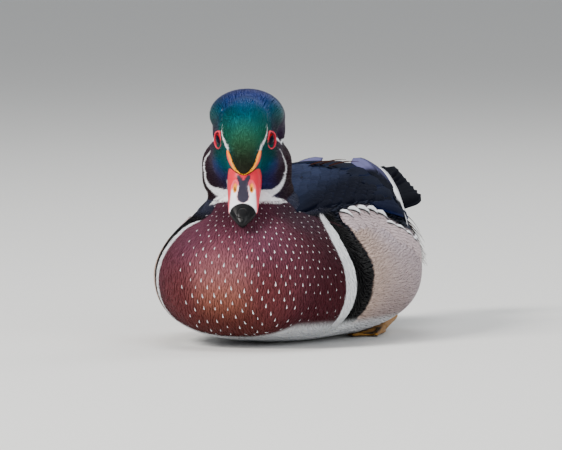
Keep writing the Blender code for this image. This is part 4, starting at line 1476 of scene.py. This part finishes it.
def scapular_rows(chance):
    """Roots and tips of the scapulars in y and degrees from the top, in staggered rows."""
    starts, ends = [], []
    for row, y in enumerate(np.arange(-84, 24, 7.5)):
        for step in range(8):
            share = (step + 0.5 * (row % 2)) / 8
            angle = 2 + share * (flank_angles(y) - 7)
            shift = chance.uniform(-2, 2)
            starts.append((y + shift, angle))
            ends.append((y + 38 + shift, angle * 1.02 + 1.5))
    return starts, ends


class DUCK_OT_wings(DuckOperator, bpy.types.Operator):
    """Scapulars, tertials, secondaries and primaries of the folded wings."""

    bl_idname = "duck.wings"
    bl_label = "Wing Feathers"

    def execute(self, context):
        blue = (0.4, 0.56, 1.0)
        glossy = plumage("wing_feathers", 0.2, count=46, rough=0.55, bump=0.2, specular=0.012, glow=blue)
        seven, eight, six = np.arange(7), np.arange(8), np.arange(6)
        slot = "wing_plumage"
        # name, roots and tips in y and degrees from the top, heights at both, stations, half widths, outline,
        # colours and thickness
        tiers = (
            ("secondaries", np.stack([2 + 8 * seven, flank_angles(2 + 8 * seven) - 5 - seven], -1),
             np.stack([66 + 6 * seven, 60 - 3.5 * seven], -1),
             (np.linspace(-0.9, -1.6, 7), np.linspace(0.2, -0.4, 7)),
             12, 6.2, QUILL, wing_tint((10, 16, 40), (30, 44, 92), 0.8), 0.6),
            ("tertials", ((14, 8), (24, 15), (28, 24), (26, 33), (18, 41)),
             ((88, 6), (92, 12), (94, 22), (92, 34), (86, 45)),
             (np.linspace(0.2, -0.4, 5), np.linspace(1.6, 0.8, 5)),
             14, (7, 7.6, 8, 8, 7), CONTOUR, wing_tint((16, 20, 34), (44, 58, 98), 0.7), 0.8),
            ("inner_primaries", np.stack([44 + 7 * eight, 54 - 3.6 * eight], -1),
             np.stack([104 + 5.5 * eight, 44 - 4.2 * eight], -1),
             (np.linspace(-1.6, -3.2, 8), np.linspace(-0.6, -1.4, 8)),
             14, 4.6, QUILL, wing_tint((22, 23, 28), (84, 88, 104), 0.2, 0.86), 0.6),
        )
        for side, word in SIDES:
            chance = drawn("wing" + word)
            starts, ends = scapular_rows(chance)
            count = len(starts)
            paths, ups = shell_paths(starts, ends, (-1.7, chance.uniform(0.1, 0.35, count)), 10, side)
            halves = chance.uniform(4.6, 5.4, count)
            # the last colour is a painted highlight along the top of the back
            tint = wing_tint((11, 13, 24), (26, 32, 52), 0.5, 0.7, (66, 74, 100))
            tones = chance.uniform(0.8, 1.2, count)
            name = f"scapulars_{word}"
            long_feathers(name, slot, glossy, paths, ups, halves, CONTOUR, tint, 0.5, tones)
            for name, starts, ends, lifts, stations, halves, kind, tint, crown in tiers:
                paths, ups = shell_paths(starts, ends, lifts, stations, side)
                long_feathers(f"{name}_{word}", slot, glossy, paths, ups, halves, kind, tint, crown)
            starts = np.stack([40 + 4 * six, 63 - 3.6 * six], -1)
            ends = np.stack([110 - 2.4 * six, 24 - 2.6 * six], -1)
            paths, ups = shell_paths(starts, ends, (-0.6, np.linspace(3.6, 4.6, 6)), 16, side)
            across = unit(np.cross(unit(np.gradient(paths, axis=1)), ups))
            tilt = PRIMARY_TILT * ramp(0.2, 0.8, np.linspace(0, 1, 16))[None, :, None]
            ups = ups * np.cos(tilt) - across * np.sin(tilt) * side
            halves, silver = (6.4, 4.8, 5, 5.2, 5.4, 5.6), primary_tint(side)
            long_feathers(f"primaries_{word}", slot, glossy, paths, ups, halves, QUILL, silver, 0.5)
        roots = ((4, 22, 104.5), (9, 27, 104.5), (13, 36, 104))
        tips = ((22, 26, 107.6), (26, 33, 108.4), (31, 44, 106.6))
        paths, ups = free_paths(roots, tips, ((0, 0, 1),) * 3, 1.4, 9)
        ruffled = wing_tint((58, 34, 26), (90, 58, 44), 0.1)
        long_feathers("back_tips", slot, glossy, paths, ups, (2.4, 3.0, 2.6), STRAND, ruffled, 0.4)
        return {"FINISHED"}


def tail_quills():
    """Roots, tips, upward directions and half widths of the fanned tail feathers."""
    for i in range(8):
        share = i / 7
        lean = math.radians(7 + 40 * share)
        for side in (-1, 1):
            root = (side * (3 + 10 * share), 118, 78.6 - 8 * share)
            tip = (side * (3.5 + 23 * share), 207 - 17 * share, 96.4 - 17 * share)
            yield root, tip, (side * math.sin(lean), 0, math.cos(lean)), 7.6 - 1.2 * share


def tail_coverts():
    """Roots, tips and upward directions of the coverts, in six staggered rows round the tail's base."""
    for row in range(6):
        for i in range(9):
            lean = math.radians((i - 4 + 0.5 * (row % 2)) / 4.5 * 62)
            y, middle = 98 + 9 * row, 73 + 1.1 * row
            wide, high = 20 - 1.2 * row, 15 - 1.2 * row
            root = (math.sin(lean) * wide, y, middle + math.cos(lean) * high - 2)
            tip = (math.sin(lean) * (wide + 1), y + 27, middle + 2 + math.cos(lean) * (high - 2.2))
            yield root, tip, (math.sin(lean), 0, math.cos(lean))


def rump_plumes(chance):
    """Roots, tips, upward directions and half widths of the loose plumes beside the tail's base."""
    for i in range(60):
        share = i / 59
        for side in (-1, 1):
            jitter = chance.normal(0, 1, 3)
            root = (side * (18 + 3 * share + jitter[0]), 122 + 5 * jitter[1], 77 - 18 * share)
            tip = (side * (38 + 4 * share + jitter[2]), 148 + 2 * jitter[0], 56 - 19 * share + jitter[1])
            yield root, tip, (side, 0.2, 0.5), chance.uniform(0.8, 1.4)


class DUCK_OT_tail(DuckOperator, bpy.types.Operator):
    """Rounded black tail feathers, their coverts and the rusty plumes of the rump."""

    bl_idname = "duck.tail"
    bl_label = "Tail Feathers"

    def execute(self, context):
        slot, cool = "tail_plumage", (0.6, 0.7, 1.0)
        glossy = plumage("tail_feathers", 0.2, count=60, rough=0.6, bump=0.12, specular=0.015, glow=cool)
        matte = plumage("plume_feathers", shine=0.0, count=6, rough=0.8, bump=0.1, specular=0.02)
        chance = drawn("coverts")
        roots, tips, ups, halves = zip(*tail_quills())
        paths, ups = free_paths(roots, tips, ups, 2.3, 16)
        tint = wing_tint((14, 15, 22), (30, 32, 46), 0.4)
        long_feathers("tail_quills", slot, glossy, paths, ups, halves, QUILL, tint, 1.0)
        roots, tips, ups = zip(*tail_coverts())
        count = len(roots)
        paths, ups = free_paths(roots, tips, ups, 2.2, 9)
        tint = wing_tint((12, 22, 26), (20, 52, 56), 0.6)
        halves = chance.uniform(4, 5, count)
        tones = chance.uniform(0.7, 1.2, count)
        long_feathers("tail_coverts", slot, glossy, paths, ups, halves, CONTOUR, tint, 0.8, tones)
        roots, tips, ups, halves = zip(*rump_plumes(chance))
        count = len(roots)
        paths, ups = free_paths(roots, tips, ups, 3.5, 8)
        rust = wing_tint((40, 20, 12), (64, 32, 18), 0.0)
        tones = chance.uniform(0.4, 1.4, count)
        long_feathers("rump_plumes", slot, matte, paths, ups, halves, STRAND, rust, 0.4, tones, SLIM)
        return {"FINISHED"}


# Bill

# y, half width, edge height and ridge height of the bill's halves, in the head's frame
UPPER_BILL = (
    (-4, 9.0, -19.3, -1.6), (-6, 9.5, -19.3, -2.0), (-17, 10.3, -19.3, -2.4), (-25, 10.2, -19.5, -6.6),
    (-35, 9.5, -20, -11.4), (-42, 9.1, -20.3, -14), (-46, 8.6, -20.5, -15.2), (-49, 7.3, -20.8, -16.1),
    (-52, 5.5, -21.1, -17.1), (-55, 3.3, -21.6, -18.6), (-56.8, 1.6, -22, -20), (-57.4, 0.4, -22.2, -21),
)
LOWER_BILL = (
    (-6, 8.2, -25.6, -20.2), (-20, 8.8, -25.2, -19.9), (-35, 8.0, -24.2, -20.4), (-45, 6.9, -23.4, -21),
    (-50.5, 4.6, -23, -21.4), (-53.4, 2.6, -22.9, -22), (-54.4, 0.4, -22.6, -22.3),
)
NOSTRIL_X = 5.1
NOSTRIL_Y = -33.2
NAIL_Y = -52.5
NAIL_HALF_WIDTH = 3.4
NAIL_HALF_LENGTH = 5.2
# the bill's top is above this height, and its rim below it
RIM_TOP = -18
# the fleshy yellow border of the bill against the feathers, with its half width
BORDER = (
    (0, -25.9, -6.2, 1.1), (2.6, -25.0, -5.4, 1.2), (5.6, -22.6, -4.2, 1.35), (7.9, -19.0, -2.4, 1.5),
    (9.3, -16.2, 0.1, 1.25), (10.0, -14.2, 2.3, 0.65),
)
BORDER_HEIGHT = 0.75
# y and half width of the white patch, of the dark stripe in it and of the stripe's fork
PATCH_WIDTHS = ((-54, 8.8), (-50, 8.8), (-44, 8.2), (-38, 7.7), (-34, 7.2), (-31, 6.6), (-29.6, 5.4))
STRIPE_WIDTHS = (
    (-43.8, 0), (-43.2, 1.6), (-41.8, 3.1), (-39.4, 3.7), (-36, 3.2), (-33, 2.7), (-30, 3.4), (-28, 4.1),
    (-26, 4.3),
)
FORK_WIDTHS = ((-29.4, 0), (-28, 1.2), (-26, 2.8))
TIP_Y = -44.0


def bill_grid(table, upper, along=150, around=120):
    """Rings of one half of the bill: an arch over a flat edge."""
    first, last = table[0][0], table[-1][0]
    share = np.linspace(0, 1, along)
    ys = first + (last - first) * (0.6 * np.sin(share * math.pi / 2) + 0.4 * share)
    values = smooth_rows([(-row[0], *row[1:]) for row in table], -ys)
    turn = np.linspace(0, 2 * math.pi, around, endpoint=False)[None, :]
    half, edge, ridge = (values[:, i][:, None] for i in range(3))
    x = half * np.sign(np.cos(turn)) * np.abs(np.cos(turn)) ** 0.72
    rise = np.sin(turn)
    if upper:
        z = np.where(rise > 0, edge + (ridge - edge) * np.abs(rise) ** 0.85, edge - 0.9 * np.abs(rise))
    else:
        z = np.where(rise > 0, ridge + 0.1 * rise, ridge - (ridge - edge) * np.abs(rise) ** 0.6)
    return np.stack([x, ys[:, None] + 0 * x, z], -1)


def oval_share(x, y, middle_x, middle_y, half_width, half_length):
    """0 in the middle of an oval seen from above, 1 on its outline and more outside."""
    return ((x - middle_x) / half_width) ** 2 + ((y - middle_y) / half_length) ** 2


def carved_upper(rings):
    """The upper half with its nostrils, nail and the grooves above its rim."""
    points = rings.reshape(-1, 3).copy()
    x, y, z = points.T
    aside = np.abs(x)
    inward = unit(np.stack([-x * 0.6, 0 * x, -np.ones_like(x) * 6], -1))
    top = z > RIM_TOP
    hole = oval_share(aside, y, NOSTRIL_X, NOSTRIL_Y, 1.35, 3.0)
    lip = oval_share(aside, y, NOSTRIL_X, NOSTRIL_Y, 2.6, 4.6)
    nail = oval_share(aside, y, 0, NAIL_Y, NAIL_HALF_WIDTH, NAIL_HALF_LENGTH)
    depth = 1.5 * np.exp(-(hole**1.6)) - 0.35 * np.exp(-((lip - 0.9) ** 2) * 4) * top
    depth = depth - 0.45 * (1 - ramp(0.7, 1.15, nail)) * top
    depth = depth + 0.25 * np.exp(-((nail - 1.1) ** 2) * 60) * top
    groove = np.exp(-((z + 18.2) ** 2) * 3) * (y < -20) * 0.3
    points = points + inward * (depth * top)[:, None]
    points[:, 0] -= np.sign(x) * groove
    return points.reshape(rings.shape)


def tint_bill(points):
    """Red sides, white ridge with a dark stripe, black tip and yellow edge, by place in the head's frame."""
    points = on_left(points)
    x, y, z = points.T
    red, white = colour(224, 42, 74), colour(252, 250, 255)
    slate, black = colour(64, 60, 76), colour(6, 8, 14)
    orange, yellow, pink = colour(236, 70, 52), colour(255, 182, 20), colour(240, 112, 128)
    tone = mixed(all_over(red, points), orange, ramp(-25, -15, y) * 0.7)
    # the white patch runs along the ridge from beside the nostrils to the nail
    half = along_table(PATCH_WIDTHS, y)
    blush = (1 - ramp(0.2, 1.6, x - half)) * (1 - ramp(-31, -27.6, y)) * (z > -19.4)
    tone = mixed(tone, pink, blush * 0.7)
    patch = (1 - ramp(-0.5, 0.5, x - half)) * (1 - ramp(-33.5, -31.0, y + 0.15 * x)) * (z > -19.8)
    tone = mixed(tone, white, patch)
    # the dark stripe is forked behind, narrow in its middle and round in front
    stripe = along_table(STRIPE_WIDTHS, y)
    fork = along_table(FORK_WIDTHS, y)
    blush = (1 - ramp(0, 0.9, x - stripe)) * ramp(-44.8, -43.6, y) * (1 - ramp(-36, -33, y))
    tone = mixed(tone, pink, blush * 0.5)
    dark = (1 - ramp(-0.25, 0.25, x - stripe)) * ramp(-44, -43.4, y) * (1 - ramp(-26.4, -25.6, y))
    tone = mixed(tone, slate, dark * ramp(-0.25, 0.25, x - fork + 0.25))
    tone = mixed(tone, black, 1 - ramp(-0.3, 0.3, y - TIP_Y + 0.05 * x**2))
    hole = oval_share(x, y, NOSTRIL_X, NOSTRIL_Y, 1.3, 2.9)
    top = z > RIM_TOP
    tone = mixed(tone, yellow * 0.8 + orange * 0.2, (1 - ramp(0.8, 1.3, hole)) * top)
    tone = mixed(tone, black, (1 - ramp(0.12, 0.4, hole)) * top * 0.9)
    tone = mixed(tone, yellow, on_line(points, BORDER, 0.3))
    return with_gloss(tone, 0.5)


def past_border(points, side):
    """How far points are on the bill's side of the border's middle line."""
    _, place, _ = nearest_on_line(points * (side, 1, 1), BORDER)
    return (points[:, 0] * side - place[:, 0]) - 0.4 * (points[:, 2] - place[:, 2])


def tint_border(points, side):
    """Yellow, more orange towards the eye and red against the bill."""
    y = points[:, 1]
    tone = mixed(all_over(colour(255, 184, 18), points), colour(255, 150, 10), ramp(-24, -15, y))
    tone = mixed(tone, colour(230, 60, 74), ramp(0.35, 0.75, past_border(points, side)) * ramp(-25, -20, y))
    return with_gloss(tone, 0.4)


def strip(line, height, around=14, steps=12):
    """Rings of a rounded strip along a line of places with half widths."""
    curve = smooth_line(line, steps)
    along = unit(np.gradient(curve[:, :3], axis=0))
    outward = unit(curve[:, :3] - np.array((0, -14, -14)))
    across = unit(np.cross(along, outward))
    outward = np.cross(across, along)
    turn = np.linspace(0, 2 * math.pi, around, endpoint=False)
    half = curve[:, None, 3:4]
    wide = across[:, None] * np.cos(turn)[None, :, None] * half
    high = outward[:, None] * np.sin(turn)[None, :, None] * height * np.minimum(1, half)
    return curve[:, None, :3] + wide + high


def horn_finish():
    """Smooth painted horn with a faint mottle."""
    finish = Finish("bill_horn", Coat_Weight=0.06, Coat_Roughness=0.25, Specular_IOR_Level=0.22)
    place = finish.object_place()
    mottle = finish.noise(place, 260.0, 4.0)
    fine = finish.noise(place, 1600.0, 3.0)
    finish.feed("Base Color", finish.scaled(finish.attribute("tint"), 0.84 + 0.32 * mottle))
    finish.feed("Roughness", (0.26 + 0.16 * mottle + 0.08 * fine).held())
    finish.bump(mottle * 0.6 + fine * 0.4, 0.18, 0.0003)
    return finish.material


class DUCK_OT_bill(DuckOperator, bpy.types.Operator):
    """The bill's two halves, with nostrils, nail and painted marks."""

    bl_idname = "duck.bill"
    bl_label = "Bill"

    def execute(self, context):
        material = horn_finish()
        halves = (
            ("bill_upper", carved_upper(bill_grid(UPPER_BILL, True))),
            ("bill_lower", bill_grid(LOWER_BILL, False)),
        )
        for node, rings in halves:
            points, faces = tube(rings)
            horn = new_piece(f"{node}_horn", from_head(points), faces, None, tint_bill(points))
            outward(horn)
            dress(horn, "bill", material, node)
        for side, word in SIDES:
            points, faces = tube(strip(BORDER, BORDER_HEIGHT) * (side, 1, 1))
            tone = tint_border(points, side)
            border = new_piece(f"bill_border_{word}", from_head(points), faces, None, tone)
            outward(border)
            dress(border, "bill", material)
        return {"FINISHED"}


# Eyes


def globe_finish(iris):
    """A moist eye: black pupil, streaked iris and dark rim, by the angle from where it looks."""
    finish = Finish("eye_globe", Specular_IOR_Level=0.06)
    turn, polar = finish.map_part("gaze", 0), finish.map_part("gaze", 1)
    streaks = finish.noise(finish.node("ShaderNodeCombineXYZ", {}, turn * 40, polar * 3, 0.0), 3.0, 3.0)
    tones = [(*(min(c * share, 1) for c in iris), 1) for share in (0.55, 1.5)]
    tone = finish.mix(streaks, *tones)
    tone = finish.mix(finish.spread(polar, 0.62, 0.72, 0.0, 1.0), tone, (0.02, 0.004, 0.004, 1))
    tone = finish.mix(finish.spread(polar, 0.43, 0.46, 1.0, 0.0), tone, (0.002, 0.003, 0.010, 1))
    finish.feed("Base Color", tone)
    finish.feed("Roughness", 0.1 + 0.1 * streaks)
    return finish.material


def lid_finish(lid):
    """The fleshy skin round the eye."""
    finish = Finish("eye_ring", Specular_IOR_Level=0.2)
    grain = finish.noise(finish.object_place(), 1500.0, 3.0)
    deep = (lid[0] * 0.7, lid[1] * 0.6, lid[2] * 0.6, 1)
    finish.feed("Base Color", finish.mix(grain, (*lid, 1), deep))
    finish.feed("Roughness", 0.35 + 0.2 * grain)
    finish.bump(grain, 0.4, 0.0003)
    return finish.material


def globe_arrays(side, rows=72, around=96):
    """Points and faces of an eyeball with a bulging front, and its map of turn and angle from the front."""
    middle, axis, across, up = eye_axes(side)
    polar = np.linspace(0.004, math.pi - 0.004, rows)
    turn = np.linspace(0, 2 * math.pi, around, endpoint=False)
    polar, turn = np.meshgrid(polar, turn, indexing="ij")
    radius = EYE_RADIUS - 0.35 + 0.25 * np.exp(-((polar / 0.6) ** 2))
    aside = np.cos(turn)[..., None] * across + np.sin(turn)[..., None] * up
    rays = np.cos(polar)[..., None] * axis + np.sin(polar)[..., None] * aside
    points, faces = tube(middle - axis * EYE_SET_BACK + rays * radius[..., None])
    gaze = np.stack([(turn / (2 * math.pi)).ravel(), (polar / (math.pi / 2)).ravel()], -1)
    return points, faces, np.concatenate([gaze, [[0.5, 0], [0.5, 2]]])


def lid_arrays(side, rows=128, around=28):
    """Points and faces of the fleshy ring round an eye, pointed above and thicker below."""
    middle, axis, across, up = eye_axes(side)
    ring = np.linspace(0, 2 * math.pi, rows, endpoint=False)
    rise, low = np.sin(ring), np.clip(-np.sin(ring), 0, 1)
    point = 1.1 * np.clip(rise, 0, 1) ** 12
    path = middle + (np.cos(ring) * 4.6)[:, None] * across + (rise * 5.3 + point)[:, None] * up
    path = path + axis * (3.5 - 0.3 * np.cos(ring) * side - 0.3 * rise**2 + 1.2 * low)[:, None]
    radial = unit(path - middle - ((path - middle) @ axis)[:, None] * axis)
    turn = np.linspace(0, 2 * math.pi, around, endpoint=False)
    thick = (0.43 + 0.03 * np.sin(ring * 23) + 0.06 * low)[:, None, None]
    crease = 1 - 0.16 * np.exp(-((turn - 1.1) ** 2) * 10)
    deep = np.where(np.sin(turn) > 0, 1.1, 2.6) * np.sin(turn) * crease
    points = path[:, None] + (np.cos(turn) * crease)[None, :, None] * radial[:, None] * thick
    points = points + deep[None, :, None] * axis * thick
    k, m = np.meshgrid(np.arange(rows), np.arange(around), indexing="ij")
    k, m = k.ravel(), m.ravel()
    k1, m1 = (k + 1) % rows, (m + 1) % around
    quads = np.stack([k * around + m, k * around + m1, k1 * around + m1, k1 * around + m], -1)
    return points.reshape(-1, 3), [quads]


class DUCK_OT_eyes(DuckOperator, bpy.types.Operator):
    """Red eyes with round pupils, and the fleshy rings round them."""

    bl_idname = "duck.eyes"
    bl_label = "Eyes"

    def execute(self, context):
        moist = globe_finish(context.scene.duck_colours.iris)
        fleshy = lid_finish(context.scene.duck_colours.lid)
        for side, word in SIDES:
            points, faces, gaze = globe_arrays(side)
            eye = new_piece(f"eye_{word}_globe", from_head(points), faces, {"gaze": gaze})
            outward(eye)
            dress(eye, "eye", moist, f"eye_{word}")
            points, faces = lid_arrays(side)
            lid = new_piece(f"eye_{word}_ring", from_head(points), faces)
            outward(lid)
            dress(lid, "eye", fleshy)
        return {"FINISHED"}


# Legs

# size of the legs' faces, in metres
LEG_VOXEL = 0.0009
# the webs lie below this height
WEB_TOP = 4


def scale_finish():
    """Scaly skin with darker seams."""
    finish = Finish("leg_scales", Specular_IOR_Level=0.4)
    place = finish.object_place()
    scales = finish.node("ShaderNodeTexVoronoi", {"feature": "DISTANCE_TO_EDGE"}, Vector=place, Scale=700.0)
    mottle = finish.noise(place, 200.0, 3.0)
    seam = finish.spread(scales, 0.0, 0.12, 0.55, 1.0)
    finish.feed("Base Color", finish.scaled(finish.attribute("tint"), seam * (0.75 + 0.5 * mottle)))
    finish.feed("Roughness", 0.42 + 0.2 * mottle)
    finish.bump(seam, 0.5, 0.0003)
    return finish.material


class DUCK_OT_legs(DuckOperator, bpy.types.Operator):
    """Tucked yellowish legs with dark webs and scales."""

    bl_idname = "duck.legs"
    bl_label = "Legs"

    def execute(self, context):
        material = scale_finish()
        for _, word in SIDES:
            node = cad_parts[f"leg_{word}"]
            leg = bpy.data.objects.new(f"leg_{word}_scaled", node.data.copy())
            context.scene.collection.objects.link(leg)
            use_in_edit_mode(leg, bpy.ops.mesh.remove_doubles, threshold=0.00001)
            finish_with(leg, "REMESH", mode="VOXEL", voxel_size=LEG_VOXEL, use_smooth_shade=True)
            finish_with(leg, "SMOOTH", factor=0.5, iterations=4)
            points, _ = mesh_arrays(leg.data)
            level = np.abs(vertex_normals(leg.data)[:, 2])
            web = ramp(0.7, 0.95, level) * (points[:, 2] < WEB_TOP)
            tone = mixed(all_over(colour(176, 130, 52), points), colour(34, 30, 28), web)
            for layer in list(leg.data.color_attributes):
                leg.data.color_attributes.remove(layer)
            paint(leg.data, with_gloss(tone, 0.2))
            dress(leg, "foot", material, f"leg_{word}")
        return {"FINISHED"}


# Stage, in metres

FLOOR_RADIUS = 14
FLOOR_LEVEL = -0.0006
LIGHTS_AIM = Vector((0, 0.02, 0.06))
# name, place, size, power, colour
LIGHTS = (
    ("key", (-1.3, -2.4, 2.0), 1.1, 135, (1.0, 0.97, 0.93)),
    ("fill", (2.2, -1.8, 1.1), 2.0, 34, (0.95, 0.98, 1.0)),
    ("back", (0.8, 2.4, 2.2), 1.6, 32, (1.0, 1.0, 1.0)),
    ("top", (-0.3, 0.2, 2.6), 1.6, 30, (1.0, 1.0, 1.0)),
)
ROOM_COLOUR = (0.82, 0.84, 0.87, 1)
ROOM_STRENGTH = 0.55
AZIMUTH = math.radians(18)
ELEVATION = math.radians(3)
DISTANCE = 5.0
LENS = 516.6
SENSOR_WIDTH = 36
AIM_ACROSS = -0.0056
AIM_UP = 0.0688


class DUCK_OT_stage(DuckOperator, bpy.types.Operator):
    """Pale floor, soft lights and the camera."""

    bl_idname = "duck.stage"
    bl_label = "Stage"

    def execute(self, context):
        scene = context.scene
        bpy.ops.object.select_all(action="DESELECT")
        floor_place = (0, 0, FLOOR_LEVEL)
        bpy.ops.mesh.primitive_circle_add(
            vertices=128, radius=FLOOR_RADIUS, fill_type="NGON", location=floor_place
        )
        floor = context.active_object
        floor.name = "floor"
        paper = Finish("floor_paper", Roughness=0.8)
        grain = paper.noise(paper.object_place(), 300.0, 4.0)
        tones = [(*(c * share for c in scene.duck_colours.floor), 1) for share in (0.96, 1.04)]
        paper.feed("Base Color", paper.mix(grain, *tones))
        paper.bump(grain, 0.08, 0.0005)
        floor.data.materials.append(paper.material)
        for name, place, size, power, tone in LIGHTS:
            light = bpy.data.lights.new(name, "AREA")
            light.shape = "DISK"
            light.size = size
            light.energy = power
            light.color = tone
            lamp = bpy.data.objects.new(name, light)
            scene.collection.objects.link(lamp)
            lamp.location = place
            lamp.rotation_euler = (LIGHTS_AIM - Vector(place)).to_track_quat("-Z", "Y").to_euler()
        world = bpy.data.worlds.new("soft_room")
        scene.world = world
        world.use_nodes = True
        room = world.node_tree.nodes["Background"].inputs
        room["Color"].default_value = ROOM_COLOUR
        room["Strength"].default_value = ROOM_STRENGTH
        camera = bpy.data.cameras.new("camera")
        camera.sensor_width = SENSOR_WIDTH
        camera.lens = LENS
        camera.clip_end = 100
        level = math.cos(ELEVATION)
        look = Vector((-math.sin(AZIMUTH) * level, math.cos(AZIMUTH) * level, -math.sin(ELEVATION)))
        right = Vector((math.cos(AZIMUTH), math.sin(AZIMUTH), 0))
        aim = right * AIM_ACROSS + right.cross(look) * AIM_UP
        stand = bpy.data.objects.new("camera", camera)
        scene.collection.objects.link(stand)
        stand.location = aim - look * DISTANCE
        stand.rotation_euler = look.to_track_quat("-Z", "Y").to_euler()
        scene.camera = stand
        return {"FINISHED"}


STEPS = (
    DUCK_OT_skin,
    DUCK_OT_face,
    DUCK_OT_crest,
    DUCK_OT_breast,
    DUCK_OT_flanks,
    DUCK_OT_back,
    DUCK_OT_wings,
    DUCK_OT_tail,
    DUCK_OT_bill,
    DUCK_OT_eyes,
    DUCK_OT_legs,
    DUCK_OT_stage,
)


class DUCK_PT_panel(bpy.types.Panel):
    """The duck's sizes, colours and making."""

    bl_label = "Wood Duck"
    bl_idname = "DUCK_PT_panel"
    bl_space_type = "VIEW_3D"
    bl_region_type = "UI"
    bl_category = "Duck"

    def draw(self, context):
        for group in (context.scene.duck_sizes, context.scene.duck_colours):
            for name in group.__annotations__:
                self.layout.prop(group, name)
        for step in STEPS:
            self.layout.operator(step.bl_idname)


CLASSES = (DuckSizes, DuckColours, *STEPS, DUCK_PT_panel)


def register():
    for kind in CLASSES:
        bpy.utils.register_class(kind)
    bpy.types.Scene.duck_sizes = PointerProperty(type=DuckSizes)
    bpy.types.Scene.duck_colours = PointerProperty(type=DuckColours)


def unregister():
    del bpy.types.Scene.duck_colours
    del bpy.types.Scene.duck_sizes
    for kind in reversed(CLASSES):
        bpy.utils.unregister_class(kind)


def main():
    register()
    for step in STEPS:
        getattr(bpy.ops.duck, step.bl_idname.split(".")[1])()


if __name__ == "__main__":
    main()
